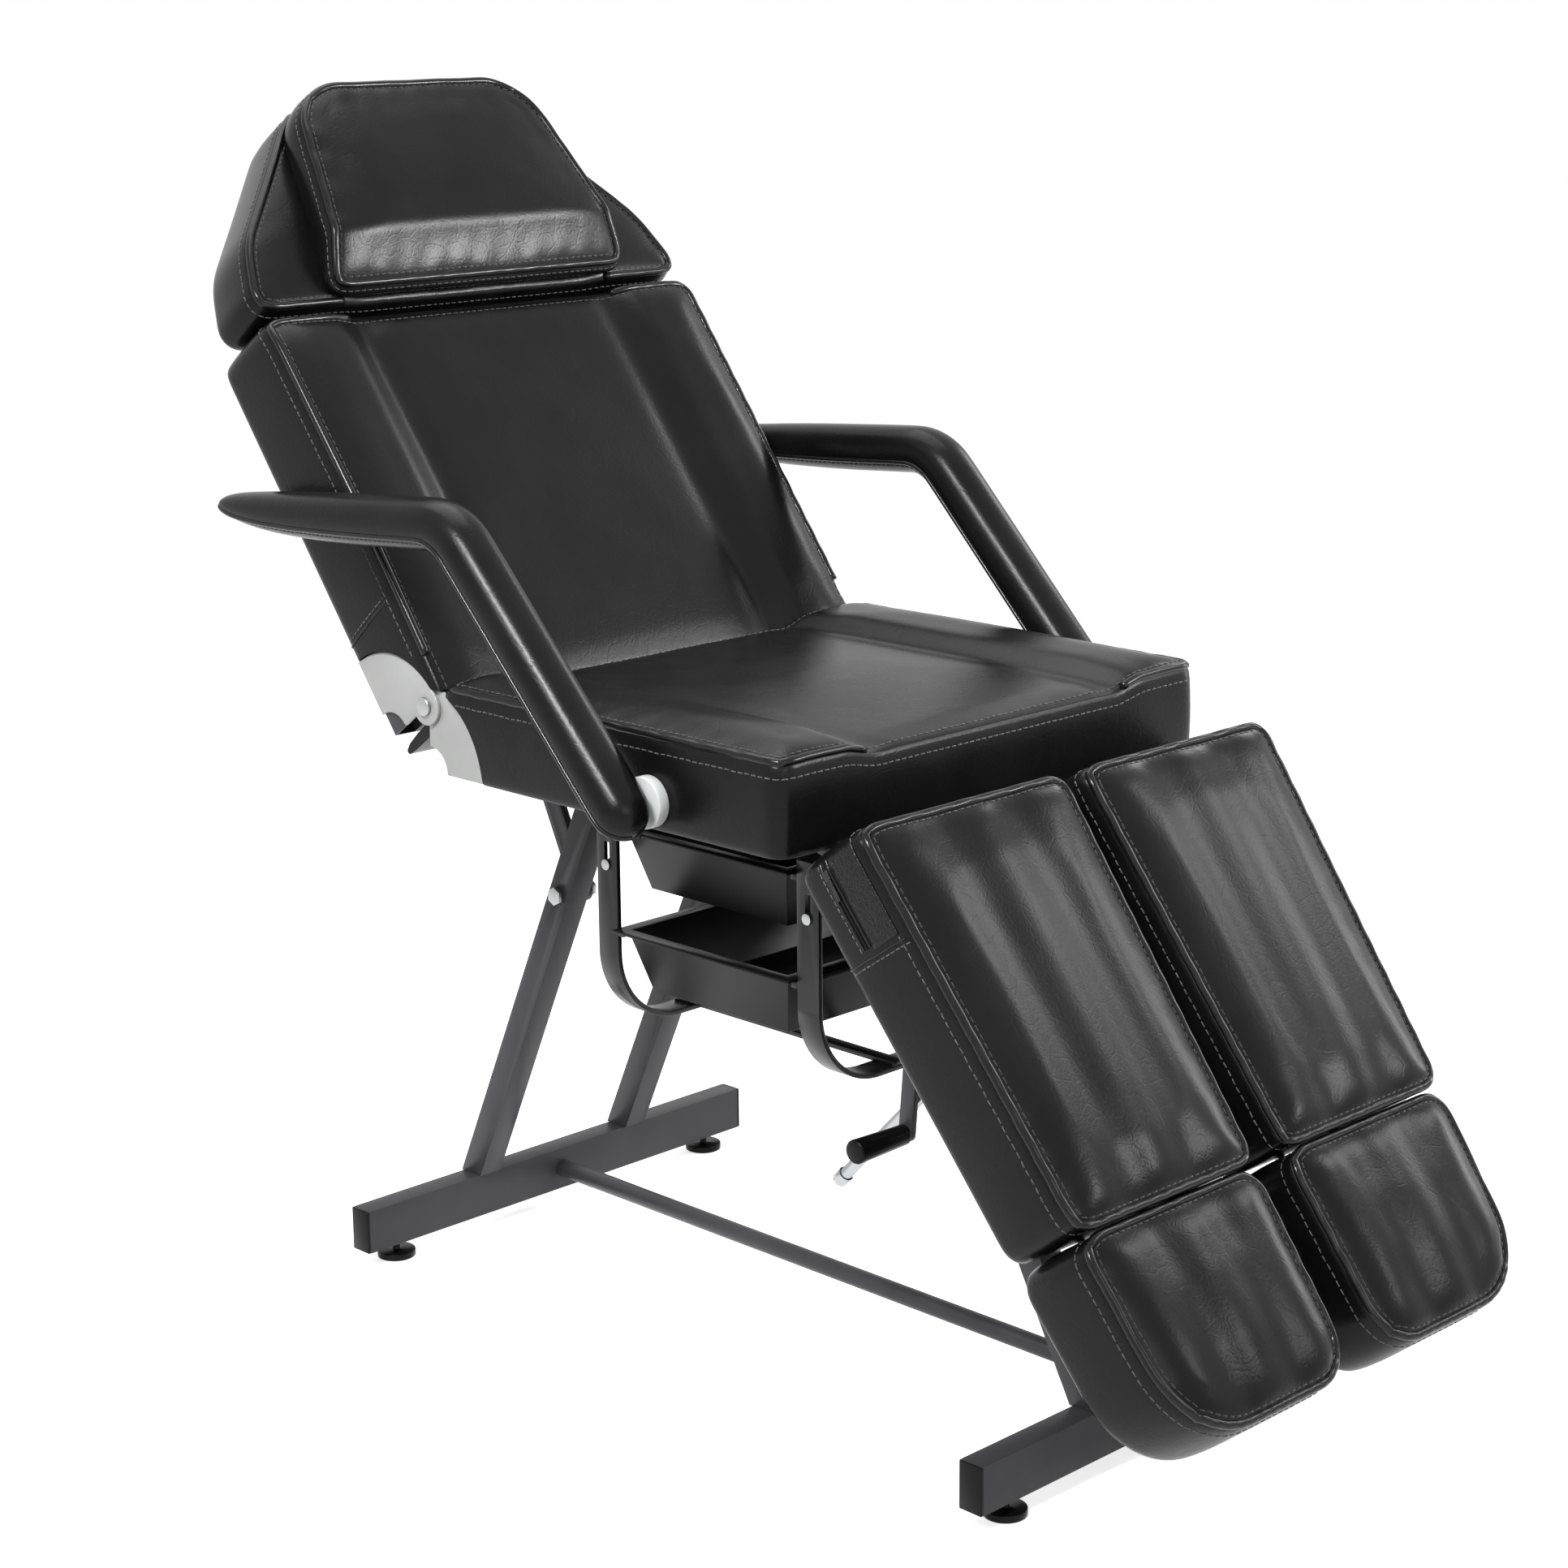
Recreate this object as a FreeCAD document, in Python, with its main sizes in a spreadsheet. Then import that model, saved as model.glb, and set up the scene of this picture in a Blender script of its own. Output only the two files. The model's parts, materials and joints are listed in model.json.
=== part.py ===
import FreeCAD, Part
import math
import os
import re

import Sketcher
from FreeCAD import Placement, Rotation, Vector

# A reclining tattoo and salon chair on a steel frame. Millimetres, +Z up. X runs across the bed,
# with the sitter's right side at -X. The head lies towards +Y and the feet towards -Y.
# Every pad is drawn with the bed laid flat, and its body is then turned to the pose at rest:
# the back raised about the recline pivot and the leg pads lowered about their hinge.

SIZES = {
    # the bed laid flat; y is zero at the recline pivot
    "bed_top": 650, "pad_thick": 88, "pad_width": 576, "seat_length": 488, "back_length": 426,
    "recline_angle": 53, "leg_angle": 53, "pivot_rise": 65, "pad_gap": 6, "soft_gap": 0.3,
    # what the cushions share: leather and foam round the frame, crown, sides, corners
    "skirt": 10, "crown": 7, "side_draw": 3, "pad_corner": 26, "board_thick": 12, "nose_gap": 1,
    "bolster_wide": 83, "dish_slope": 42, "dish_depth": 13, "dish_sag": 1,
    # frame tubes inside the pads
    "tube_wide": 25, "tube_high": 40, "leg_tube_high": 25, "tube_wall": 1.6, "rail_place": 62,
    "overrun": 5,
    # stand: two foot beams, four slanted legs and a stretcher
    "beam_length": 531, "beam_high": 46, "beam_wide": 26, "beam_rise": 17, "beam_wall": 2,
    "rear_beam_y": 162, "front_beam_reach": 202, "rear_leg_top_y": -66, "front_leg_inset": 60,
    "leg_place": 104.5, "stand_tube": 28, "stretcher_bore": 15, "stretcher_diameter": 19,
    "cap_thick": 3, "cap_plug": 18, "foot_inset": 43, "foot_diameter": 40, "foot_pad_high": 7,
    "stud_diameter": 8, "stud_length": 34, "nut_high": 7, "nut_across": 13, "turn_gap": 0.3,
    # hinge plates between the seat and the back
    "plate_outer": 84, "plate_inner": 25, "plate_thick": 4, "plate_gap": 0.3, "plate_ear": 19,
    "hinge_pin_diameter": 10, "hinge_head_diameter": 18, "hinge_head_thick": 3.5,
    # leg pads, their hinges and the foot pads that slide out of them
    "leg_length": 386, "leg_outer": 282, "leg_outer_end": 262, "leg_inner": 12, "leg_inner_end": 20,
    "leg_hinge_drop": 8, "leg_pin_diameter": 8, "leg_ear_radius": 7, "leg_ear_thick": 5,
    "leg_ear_reach": 34, "leg_ear_outer": 215, "leg_ear_inner": 66, "channel_depth": 4,
    "foot_gap": 10, "foot_length": 193, "foot_thick": 84, "foot_top_drop": 4, "foot_outer_end": 250,
    "foot_inner_end": 24, "foot_big_corner": 85, "foot_small_corner": 50, "foot_rod_diameter": 10,
    "foot_rod_mid": 141, "foot_rod_spread": 86, "foot_rod_seat": 66, "foot_rod_hidden": 185,
    "guide_wall": 3, "guide_length": 118, "slide_gap": 0.3, "bracket_sheet": 4,
    # head section on two rods, with its pillow
    "head_gap": 7, "head_length": 238, "head_spare": 2, "head_waist": 205, "head_top_width": 120,
    "head_thick": 80, "head_end_thick": 62, "head_rod_diameter": 12, "head_rod_mid": 130,
    "head_rod_rise": 22, "head_rod_seat": 80, "head_rod_hidden": 175, "head_guide_length": 110,
    "head_board_thick": 10, "pillow_length": 232, "pillow_half_width": 195, "pillow_top_width": 150,
    "pillow_thick": 40, "pillow_bevel": 55, "pillow_edge": 9, "pillow_start": 8, "pillow_corner": 75,
    # prop that holds the back, with its rack
    "prop_pivot_z": 402, "prop_length": 278, "prop_bar_wide": 24, "prop_bar_thick": 8,
    "prop_gap": 0.5, "prop_rod_diameter": 12, "prop_rod_reach": 108, "brace_place": 155,
    "rack_thick": 4, "rack_high": 15, "rack_bite": 1.5, "rack_notch_radius": 7, "rack_margin": 14,
    "bolt_diameter": 10, "bolt_across": 17, "bolt_head_thick": 6.5,
    "release_thick": 5, "release_length": 42, "release_wide": 18, "release_angle": -62,
    "release_grip_diameter": 21, "release_grip_length": 48,
    "spring_wire": 2.2, "spring_coil": 13, "spring_pitch": 2.75, "spring_leg": 10, "spring_settle": 3.5,
    "spring_lead_in": 40,
    "spring_tab_y": -126, "spring_tab_thick": 12, "spring_tab_wide": 20, "spring_tab_high": 24,
    # leg locks: a rod through a swivelling collar beside each front leg
    "lock_pivot_z": 402, "lock_place": 130, "lock_rod_diameter": 12, "lock_rod_length": 274,
    "lock_reach": 180, "lock_drop": 16, "lock_arm": 54, "lock_ear_thick": 3, "lock_ear_gap": 0.5,
    "lock_pin_diameter": 6, "lock_ear_long": 44, "lock_ear_deep": 26, "lock_eye_radius": 8.5,
    "lock_eye_thick": 9, "lock_block": 22,
    "lock_hub_radius": 12, "lock_arm_thick": 6, "lever_thick": 6, "lever_gap": 2, "lever_wide": 16,
    "lever_length": 119, "lever_angle": 275, "lever_grip_diameter": 23, "lever_grip_tip": 19,
    "lever_grip_length": 66, "rod_cap_long": 12, "rod_cap_diameter": 15,
    # armrests
    "arm_inset": 166, "arm_pivot_z": 590, "arm_lower": 318, "arm_upper": 352, "arm_rise": 46,
    "arm_fall": 4, "arm_wide": 52, "arm_deep": 50, "arm_start": 30, "arm_bend": 62,
    "spacer_diameter": 48, "spacer_thick": 12, "bush_diameter": 20, "arm_bolt_diameter": 10,
    "arm_core_thick": 6, "arm_core_wide": 24, "arm_face_gap": 0.7, "arm_tip_margin": 70,
    "arm_head_thick": 6, "arm_head_across": 17,
    # trays and the two hangers that carry them
    "hanger_rear_y": -132, "hanger_inset": 83, "hanger_wide": 28, "hanger_thick": 5,
    "hanger_half": 175, "hanger_bottom": 305, "hanger_bend": 80, "hanger_step": 10,
    "hanger_step_z": 536, "hanger_slot_z": 482, "hanger_slot_long": 26, "hanger_slot_wide": 7,
    "hanger_screw_head": 11, "hanger_foot": 34, "rail_wide": 8, "rail_high": 6, "rest_bar_wide": 14,
    "rest_bar_thick": 5, "rest_bar_place": 70,
    "tray_length": 370, "tray_high": 62, "tray_wall": 2.5, "tray_rim": 3, "tray_flange": 11,
    "tray_taper": 17, "tray_upper_rim": 515, "tray_lower_rim": 412, "tray_side_gap": 2,
}

# Places that follow the seat's front edge and its width
FOLLOWING = {
    "front_leg_top_y": "=front_leg_inset - seat_length",
    "front_beam_y": "=-seat_length - front_beam_reach",
    "hanger_front_y": "=hanger_inset - seat_length",
    "arm_pivot_y": "=arm_inset - seat_length",
    "head_half_width": "=pad_width / 2 + head_spare",
}

# Shares that shape the soft outlines, all chosen by hand
CORNER_SHARE = 0.29
HEAD_SHOULDER_SHARES = (0.22, 0.34)
SHOULDER_DRAW_SHARE = 1.5
HEAD_WAIST_SHARES = (0.5, 0.64)
HEAD_TOP_SHARES = (0.9,)
ARM_FRONT_SHARES = ((0.0, 0.3, 0.36), (0.1, 0.58, 0.66), (0.35, 0.86, 0.92), (0.75, 1.0, 1.0))
ARM_TIP_SHARES = ((0.4, 0.96, 0.9), (0.75, 0.78, 0.6), (0.95, 0.55, 0.28), (1.0, 0.4, 0.14))
ARM_BULGE_SHARE = 0.76
TIP_LIFT_SHARE = 0.4
BEND_STEPS = 6
RACK_STEPS = 8
RACK_UPRIGHT_STEPS = 2
FOOT_CHANNELS = 3

doc = FreeCAD.newDocument("TattooChair")
sheet = doc.addObject("Spreadsheet::Sheet", "Sizes")
for row, (alias, amount) in enumerate((SIZES | FOLLOWING).items(), 1):
    sheet.set(f"A{row}", alias)
    sheet.set(f"B{row}", str(amount))
    sheet.setAlias(f"B{row}", alias)
doc.recompute()

nodes = {}


def size(alias):
    """One driving dimension, read back from the sheet."""
    return float(sheet.get(alias))


def bound(text):
    """An expression with the sheet's name before each of its aliases."""
    return re.sub(r"[a-z_]+",
                  lambda word: "Sizes." + word[0] if word[0] in SIZES | FOLLOWING else word[0], text)


def node(label, shape_object):
    """Keep an object as a named piece of the chair."""
    shape_object.Label = label
    nodes[label] = shape_object
    return shape_object


def box(x, y, z):
    """A block between pairs of expressions, low to high along each axis."""
    block = doc.addObject("Part::Box", "Block")
    for side, base, (low, high) in (("Length", "x", x), ("Width", "y", y), ("Height", "z", z)):
        block.setExpression(side, bound(f"({high}) - ({low})"))
        block.setExpression(f"Placement.Base.{base}", bound(low))
    return block


AXIS_TURNS = {
    "x": Rotation(Vector(0, 1, 0), 90),
    "y": Rotation(Vector(1, 0, 0), -90),
    "z": Rotation(),
}


def cylinder(axis, radius, start, length):
    """A round bar that starts at three expressions and runs along +axis."""
    bar = doc.addObject("Part::Cylinder", "Bar")
    bar.setExpression("Radius", bound(radius))
    bar.setExpression("Height", bound(length))
    bar.Placement = Placement(Vector(), AXIS_TURNS[axis])
    for base, text in zip("xyz", start):
        bar.setExpression(f"Placement.Base.{base}", bound(text))
    return bar


def hexagon(axis, across, start, length):
    """A hexagon head or nut, measured across its flats."""
    prism = doc.addObject("Part::Prism", "Hexagon")
    prism.Polygon = 6
    prism.setExpression("Circumradius", bound(f"({across}) / sqrt(3)"))
    prism.setExpression("Height", bound(length))
    prism.Placement = Placement(Vector(), AXIS_TURNS[axis])
    for base, text in zip("xyz", start):
        prism.setExpression(f"Placement.Base.{base}", bound(text))
    return prism


def fuse(*pieces):
    whole = doc.addObject("Part::MultiFuse", "Joined")
    whole.Shapes = list(pieces)
    whole.Refine = True
    return whole


def cut(base, *tools):
    """A base with one or more tools taken out of it."""
    result = doc.addObject("Part::Cut", "Cut")
    result.Base = base
    result.Tool = tools[0] if len(tools) == 1 else fuse(*tools)
    return result


def group(*pieces):
    """Separate solids that share one node."""
    result = doc.addObject("Part::Compound", "Group")
    result.Links = list(pieces)
    return result


def mirrored(piece):
    """The same piece on the other side of the chair."""
    result = doc.addObject("Part::Mirroring", "Mirrored")
    result.Source = piece
    result.Normal = (1, 0, 0)
    return result


def tube(x, y, z, along, wall="tube_wall"):
    """A rectangular tube, open at both ends along one axis."""
    inner = []
    for axis, (low, high) in zip("xyz", (x, y, z)):
        grow = "-overrun" if axis == along else wall
        inner.append((f"{low} + ({grow})", f"{high} - ({grow})"))
    return cut(box(x, y, z), box(*inner))


def plain(shape):
    """An object for a shape that sketches and primitives can't give."""
    piece = doc.addObject("Part::Feature", "Shape")
    piece.Shape = shape
    return piece


def polygon_plate(corners, start, thickness):
    """A flat plate in the plane of Y and Z, its corners given as pairs of expressions."""
    body = doc.addObject("PartDesign::Body", "Plate")
    sketch = body.newObject("Sketcher::SketchObject", "Outline")
    plane = [item for item in body.Origin.OriginFeatures if item.Role == "YZ_Plane"][0]
    sketch.AttachmentSupport = [(plane, "")]
    sketch.MapMode = "FlatFace"
    sketch.setExpression("AttachmentOffset.Base.z", bound(start))
    count = len(corners)
    ring = [Vector(math.cos(math.tau * i / count), math.sin(math.tau * i / count)) for i in range(count)]
    for i in range(count):
        sketch.addGeometry(Part.LineSegment(ring[i], ring[(i + 1) % count]), False)
    for i in range(count):
        sketch.addConstraint(Sketcher.Constraint("Coincident", i, 2, (i + 1) % count, 1))
    for i, corner in enumerate(corners):
        for kind, text, now in zip(("DistanceX", "DistanceY"), corner, (ring[i].x, ring[i].y)):
            place = sketch.addConstraint(Sketcher.Constraint(kind, -1, 1, i, 1, now))
            sketch.setExpression(f"Constraints[{place}]", bound(text))
    pad = body.newObject("PartDesign::Pad", "Thickness")
    pad.Profile = sketch
    pad.setExpression("Length", bound(thickness))
    return body


# Places that several pieces share, as expressions
UNDERSIDE = "(bed_top - pad_thick)"
FRAME_TOP = f"({UNDERSIDE} + tube_high)"
BOARD_TOP = f"({FRAME_TOP} + board_thick)"
LEG_FRAME_TOP = f"({UNDERSIDE} + leg_tube_high)"
LEG_BOARD_TOP = f"({LEG_FRAME_TOP} + board_thick)"
PIVOT_Z = f"({UNDERSIDE} + pivot_rise)"
BEAM_TOP = "(beam_rise + beam_high)"
SEAT_HALF = "(pad_width / 2 - skirt - soft_gap)"
BACK_HALF = f"({SEAT_HALF} + plate_thick + plate_gap)"
SEAT_REAR = "(-(pad_thick - pivot_rise) - nose_gap)"
SEAT_FRONT = "(-seat_length + pad_gap / 2)"
SEAT_FRAME_REAR = f"({SEAT_REAR} - skirt - soft_gap)"
SEAT_FRAME_FRONT = f"({SEAT_FRONT} + skirt + soft_gap)"
BACK_FRAME_START = "(plate_gap + nose_gap)"
BACK_FRAME_END = "(back_length - skirt - soft_gap)"

underside = size("bed_top") - size("pad_thick")
pivot = Vector(0, 0, underside + size("pivot_rise"))
leg_hinge = Vector(0, -size("seat_length"), underside - size("leg_hinge_drop"))


def literal(amount):
    """A worked-out place as the text of an expression."""
    return f"({amount:.6f})"


def turned(centre, degrees):
    """The placement that turns a piece about a line along X."""
    return Placement(Vector(), Rotation(Vector(1, 0, 0), degrees), centre)


def beside(origin, degrees, along, off=0.0):
    """A point along a direction in the plane of Y and Z, and off to its left."""
    angle = math.radians(degrees)
    step = Vector(0, math.cos(angle), math.sin(angle))
    left = Vector(0, -math.sin(angle), math.cos(angle))
    return origin + step * along + left * off


def slanted(start, end, wide, deep, spare=0.0):
    """A block centred on the line from one point to another, wide along X."""
    run = end - start
    turn = Rotation(Vector(1, 0, 0), math.degrees(math.atan2(run.z, run.y)) - 90)
    block = doc.addObject("Part::Box", "Block")
    block.setExpression("Length", bound(wide))
    block.setExpression("Width", bound(deep))
    block.Height = run.Length + 2 * spare
    doc.recompute()
    corner = Vector(block.Length.Value / 2, block.Width.Value / 2, spare)
    block.Placement = Placement(start - turn.multVec(corner), turn)
    return block


def round_between(start, end, radius):
    """A round bar from one point to another in any plane across X."""
    run = end - start
    bar = doc.addObject("Part::Cylinder", "Bar")
    bar.setExpression("Radius", bound(radius))
    bar.Height = run.Length
    bar.Placement = Placement(start, Rotation(Vector(0, 0, 1), run))
    return bar


# Stand

def foot_beam(y_place):
    sides = (f"{y_place} - beam_wide / 2", f"{y_place} + beam_wide / 2")
    beam = tube(("-beam_length / 2", "beam_length / 2"), sides, ("beam_rise", BEAM_TOP), "x", "beam_wall")
    holes = [
        cylinder("z", "stud_diameter / 2 + turn_gap",
                 (f"{sign} * (beam_length / 2 - foot_inset)", y_place, "beam_rise - overrun"),
                 "overrun + 2 * beam_wall")
        for sign in (-1, 1)
    ]
    return cut(beam, *holes)


def end_cap(y_place):
    """A moulded cap that closes a beam's end, with its plug inside the tube."""
    face = box(("beam_length / 2", "beam_length / 2 + cap_thick"),
               (f"{y_place} - beam_wide / 2", f"{y_place} + beam_wide / 2"), ("beam_rise", BEAM_TOP))
    plug = box(("beam_length / 2 - cap_plug", "beam_length / 2"),
               (f"{y_place} - beam_wide / 2 + beam_wall", f"{y_place} + beam_wide / 2 - beam_wall"),
               ("beam_rise + beam_wall", f"{BEAM_TOP} - beam_wall"))
    return fuse(face, plug)


def levelling_foot(x_place, y_place):
    pad = cylinder("z", "foot_diameter / 2", (x_place, y_place, "0"), "foot_pad_high")
    return fuse(pad, cylinder("z", "stud_diameter / 2", (x_place, y_place, "0"), "stud_length"))


def foot_nut(x_place, y_place):
    """The nut welded inside a beam over a foot's stud."""
    start = (x_place, y_place, "beam_rise + beam_wall")
    nut = hexagon("z", "nut_across", start, "nut_high")
    return cut(nut, cylinder("z", "stud_diameter / 2 + turn_gap", start, "nut_high"))


def leg_line(top_y, beam_y):
    """The ends of a leg's middle line, on its beam and under the seat frame."""
    return Vector(0, size(beam_y), size("beam_rise") + size("beam_high")), Vector(0, size(top_y),
                                                                                  underside)


def on_leg(line, height):
    low, high = line
    return low + (high - low) * ((height - low.z) / (high.z - low.z))


def stand_leg(line, bolt):
    """A square tube from a beam's top to the seat frame, with its bolt hole."""
    offset = Vector(-size("leg_place"), 0, 0)
    spare = size("stand_tube")
    walls = [slanted(line[0] + offset, line[1] + offset, across, across, spare)
             for across in ("stand_tube", "stand_tube - 2 * tube_wall")]
    slab = box(("-leg_place - stand_tube", "-leg_place + stand_tube"),
               ("front_beam_y - stand_tube", "rear_beam_y + stand_tube"), (BEAM_TOP, UNDERSIDE))
    trimmed = doc.addObject("Part::Common", "Trimmed")
    trimmed.Base, trimmed.Tool = cut(*walls), slab
    hole = cylinder("x", "bolt_diameter / 2",
                    ("-leg_place - stand_tube", literal(bolt.y), literal(bolt.z)),
                    "2 * stand_tube")
    return cut(trimmed, hole)


rear_line = leg_line("rear_leg_top_y", "rear_beam_y")
front_line = leg_line("front_leg_top_y", "front_beam_y")
prop_pivot = on_leg(rear_line, size("prop_pivot_z"))
lock_pivot = on_leg(front_line, size("lock_pivot_z"))

node("rear_foot_beam", foot_beam("rear_beam_y"))
node("front_foot_beam", foot_beam("front_beam_y"))
caps = [end_cap(place) for place in ("rear_beam_y", "front_beam_y")]
node("beam_end_caps", group(*caps, *map(mirrored, caps)))
legs = [stand_leg(rear_line, prop_pivot), stand_leg(front_line, lock_pivot)]
node("stand_legs", group(*legs, *map(mirrored, legs)))
node("stretcher_tube", cut(
    cylinder("y", "stretcher_diameter / 2",
             ("0", "front_beam_y + beam_wide / 2", "beam_rise + beam_high / 2"),
             "rear_beam_y - front_beam_y - beam_wide"),
    cylinder("y", "stretcher_bore / 2", ("0", "front_beam_y", "beam_rise + beam_high / 2"),
             "rear_beam_y - front_beam_y")))
foot_places = {
    f"levelling_foot_{row}_{side}": (f"{sign} * (beam_length / 2 - foot_inset)", f"{row}_beam_y")
    for row in ("rear", "front") for side, sign in (("right", -1), ("left", 1))
}
for label, place in foot_places.items():
    node(label, levelling_foot(*place))
nuts = [foot_nut(*place) for place in foot_places.values()]



# Frames inside the pads, and the lugs of the leg hinges

def frame_tubes(low, high, start, end, top, crossings=()):
    """Side tubes from start to end, with end tubes and inner ones between them."""
    level = (UNDERSIDE, top)
    rows = [(start, f"{start} + tube_wide"), (f"{end} - tube_wide", end)]
    rows += [(f"{y} - tube_wide / 2", f"{y} + tube_wide / 2") for y in crossings]
    sides = [tube((low, f"{low} + tube_wide"), (start, end), level, "y"),
             tube((f"{high} - tube_wide", high), (start, end), level, "y")]
    return sides, [tube((f"{low} + tube_wide", f"{high} - tube_wide"), row, level, "x") for row in rows]


def hinge_lug(x_low, toward):
    """A flat lug under a frame tube that reaches the leg hinge's pin."""
    y, z = "-seat_length", f"({UNDERSIDE} - leg_hinge_drop)"
    far = f"{y} + {toward} * leg_ear_reach"
    blade = polygon_plate([
        (y, f"{z} - leg_ear_radius"), (far, f"{UNDERSIDE} - leg_ear_thick"), (far, UNDERSIDE),
        (f"{y} + {toward} * (pad_gap / 2 + skirt + soft_gap)", UNDERSIDE), (y, f"{z} + leg_ear_radius"),
    ], x_low, "leg_ear_thick")
    eye = cylinder("x", "leg_ear_radius", (x_low, y, z), "leg_ear_thick")
    hole = cylinder("x", "leg_pin_diameter / 2 + turn_gap", (f"{x_low} - overrun", y, z),
                    "leg_ear_thick + 2 * overrun")
    return cut(fuse(blade, eye), hole)


# Cushions: a lengthwise loft with crown and channels, trimmed by a side view and a plan

def arc(start, middle, end):
    return Part.Arc(start, middle, end).toShape()


def line(start, end):
    return Part.LineSegment(start, end).toShape()


def cross_section(low, high, bottom, top, y, channels, crown):
    """A pad cut across: flat below, sides drawn in, the top crowned in one or more channels."""
    draw, dip = size("side_draw"), (size("channel_depth") if channels > 1 else 0.0)
    middle, half = (low + high) / 2, (high - low) / 2

    def crest(x):
        return top + crown * (1 - ((x - middle) / half) ** 2)

    level = (bottom + top) / 2
    edges = [line(Vector(low, y, bottom), Vector(high, y, bottom)),
             arc(Vector(high, y, bottom), Vector(high - draw, y, level), Vector(high, y, top))]
    step = (high - low) / channels
    for count in range(channels):
        begin, finish = high - count * step, high - (count + 1) * step
        drop_begin = 0.0 if count == 0 else dip
        drop_finish = 0.0 if count == channels - 1 else dip
        centre = (begin + finish) / 2
        edges.append(arc(Vector(begin, y, crest(begin) - drop_begin), Vector(centre, y, crest(centre)),
                         Vector(finish, y, crest(finish) - drop_finish)))
    edges.append(arc(Vector(low, y, top), Vector(low + draw, y, level), Vector(low, y, bottom)))
    return Part.Wire(edges)


def side_face(edges, wide):
    """A closed side view as a solid that is wider than the pad."""
    face = Part.Face(Part.Wire(edges))
    face.translate(Vector(-wide, 0, 0))
    return face.extrude(Vector(2 * wide, 0, 0))


def rounded_plan(corners, radii, low, high):
    """A plan outline with rounded corners, as a solid from one level to another."""
    edges, count, ends = [], len(corners), []
    for i, radius in enumerate(radii):
        before, here, after = corners[i - 1], corners[i], corners[(i + 1) % count]
        back, ahead = (before - here).normalize(), (after - here).normalize()
        if radius == 0:
            ends.append((here, here))
            continue
        half_turn = math.acos(max(-1.0, min(1.0, back.dot(ahead)))) / 2
        reach = radius / math.tan(half_turn)
        middle = here + (back + ahead).normalize() * (radius / math.sin(half_turn) - radius)
        ends.append((here + back * reach, here + ahead * reach))
        edges.append(arc(ends[-1][0], middle, ends[-1][1]))
    for i in range(count):
        edges.append(line(ends[i][1], ends[(i + 1) % count][0]))
    wire = Part.Wire(Part.__sortEdges__(edges))
    face = Part.Face(wire)
    face.translate(Vector(0, 0, low))
    return face.extrude(Vector(0, 0, high - low))


def pad_side(near, far, bottom, top, crown, wide):
    """The side view of a plain pad between two ends, both drawn in."""
    draw, level, middle = size("side_draw"), (bottom + top) / 2, (near + far) / 2
    return side_face([
        line(Vector(0, near, bottom), Vector(0, far, bottom)),
        arc(Vector(0, far, bottom), Vector(0, far - draw, level), Vector(0, far, top)),
        arc(Vector(0, far, top), Vector(0, middle, top + crown), Vector(0, near, top)),
        arc(Vector(0, near, top), Vector(0, near + draw, level), Vector(0, near, bottom)),
    ], wide)


def pocket(x, y, top):
    """The hollow under a pad that holds its frame and board."""
    return box(x, y, (f"{UNDERSIDE} - overrun", top))


def dish(half, near, far, top):
    """The scoop between two side bolsters, as a solid that is cut out of a pad from end to end."""
    depth, rise = size("dish_depth"), 2 * size("crown")
    shoulder = half - size("bolster_wide")
    foot = shoulder - size("dish_slope")
    lip = shoulder + size("dish_slope") * rise / depth
    floor_left, floor_right = Vector(-foot, near, top - depth), Vector(foot, near, top - depth)
    lip_left, lip_right = Vector(-lip, near, top + rise), Vector(lip, near, top + rise)
    floor_middle = Vector(0, near, top - depth + size("dish_sag"))
    section = Part.Wire([line(lip_left, floor_left), arc(floor_left, floor_middle, floor_right),
                         line(floor_right, lip_right), line(lip_right, lip_left)])
    return plain(Part.Face(section).extrude(Vector(0, far - near, 0)))


overrun = size("overrun")
crown = size("crown")
bed_top = size("bed_top")
wide_side = size("pad_width")
corner_room = size("soft_gap")


# Seat

seat_sides, seat_rows = frame_tubes(f"-{SEAT_HALF}", SEAT_HALF, SEAT_FRAME_FRONT, SEAT_FRAME_REAR,
                                    FRAME_TOP,
                                    ("hanger_rear_y", "hanger_front_y"))
arm_holes = cylinder("x", "arm_bolt_diameter / 2", ("-pad_width", "arm_pivot_y", "arm_pivot_z"),
                     "2 * pad_width")
seat_lugs = [hinge_lug(place, 1) for place in ("leg_ear_inner", "leg_ear_outer")]
spring_tab = box(("-spring_tab_wide / 2", "spring_tab_wide / 2"),
                 ("spring_tab_y - spring_tab_thick", "spring_tab_y"),
                 (f"{UNDERSIDE} - spring_tab_high", UNDERSIDE))
node("seat_frame", group(*[cut(side, arm_holes) for side in seat_sides], *seat_rows, *seat_lugs,
                         *map(mirrored, seat_lugs), spring_tab))
node("seat_board",
     box((f"-{SEAT_HALF}", SEAT_HALF), (SEAT_FRAME_FRONT, SEAT_FRAME_REAR), (FRAME_TOP, BOARD_TOP)))

seat_front = -size("seat_length") + size("pad_gap") / 2
seat_rear = -(size("pad_thick") - size("pivot_rise")) - size("nose_gap")
half_width = size("pad_width") / 2


def section_loft(start, end, bottom, top, channels, crown_high):
    """A ruled loft between two sections, each given as (y, low x, high x)."""
    wires = [cross_section(low, high, bottom, top, y, channels, crown_high) for y, low,
             high in (start, end)]
    return Part.makeLoft(wires, True, True)


def plan_box(near, far, low_near, high_near, low_far, high_far, radii, bottom, top):
    """A four-cornered plan: radii run from the near low corner round to the far low one."""
    return rounded_plan([Vector(low_near, near), Vector(high_near, near), Vector(high_far, far),
                         Vector(low_far, far)], radii, bottom - overrun, top + 2 * crown)


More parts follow.
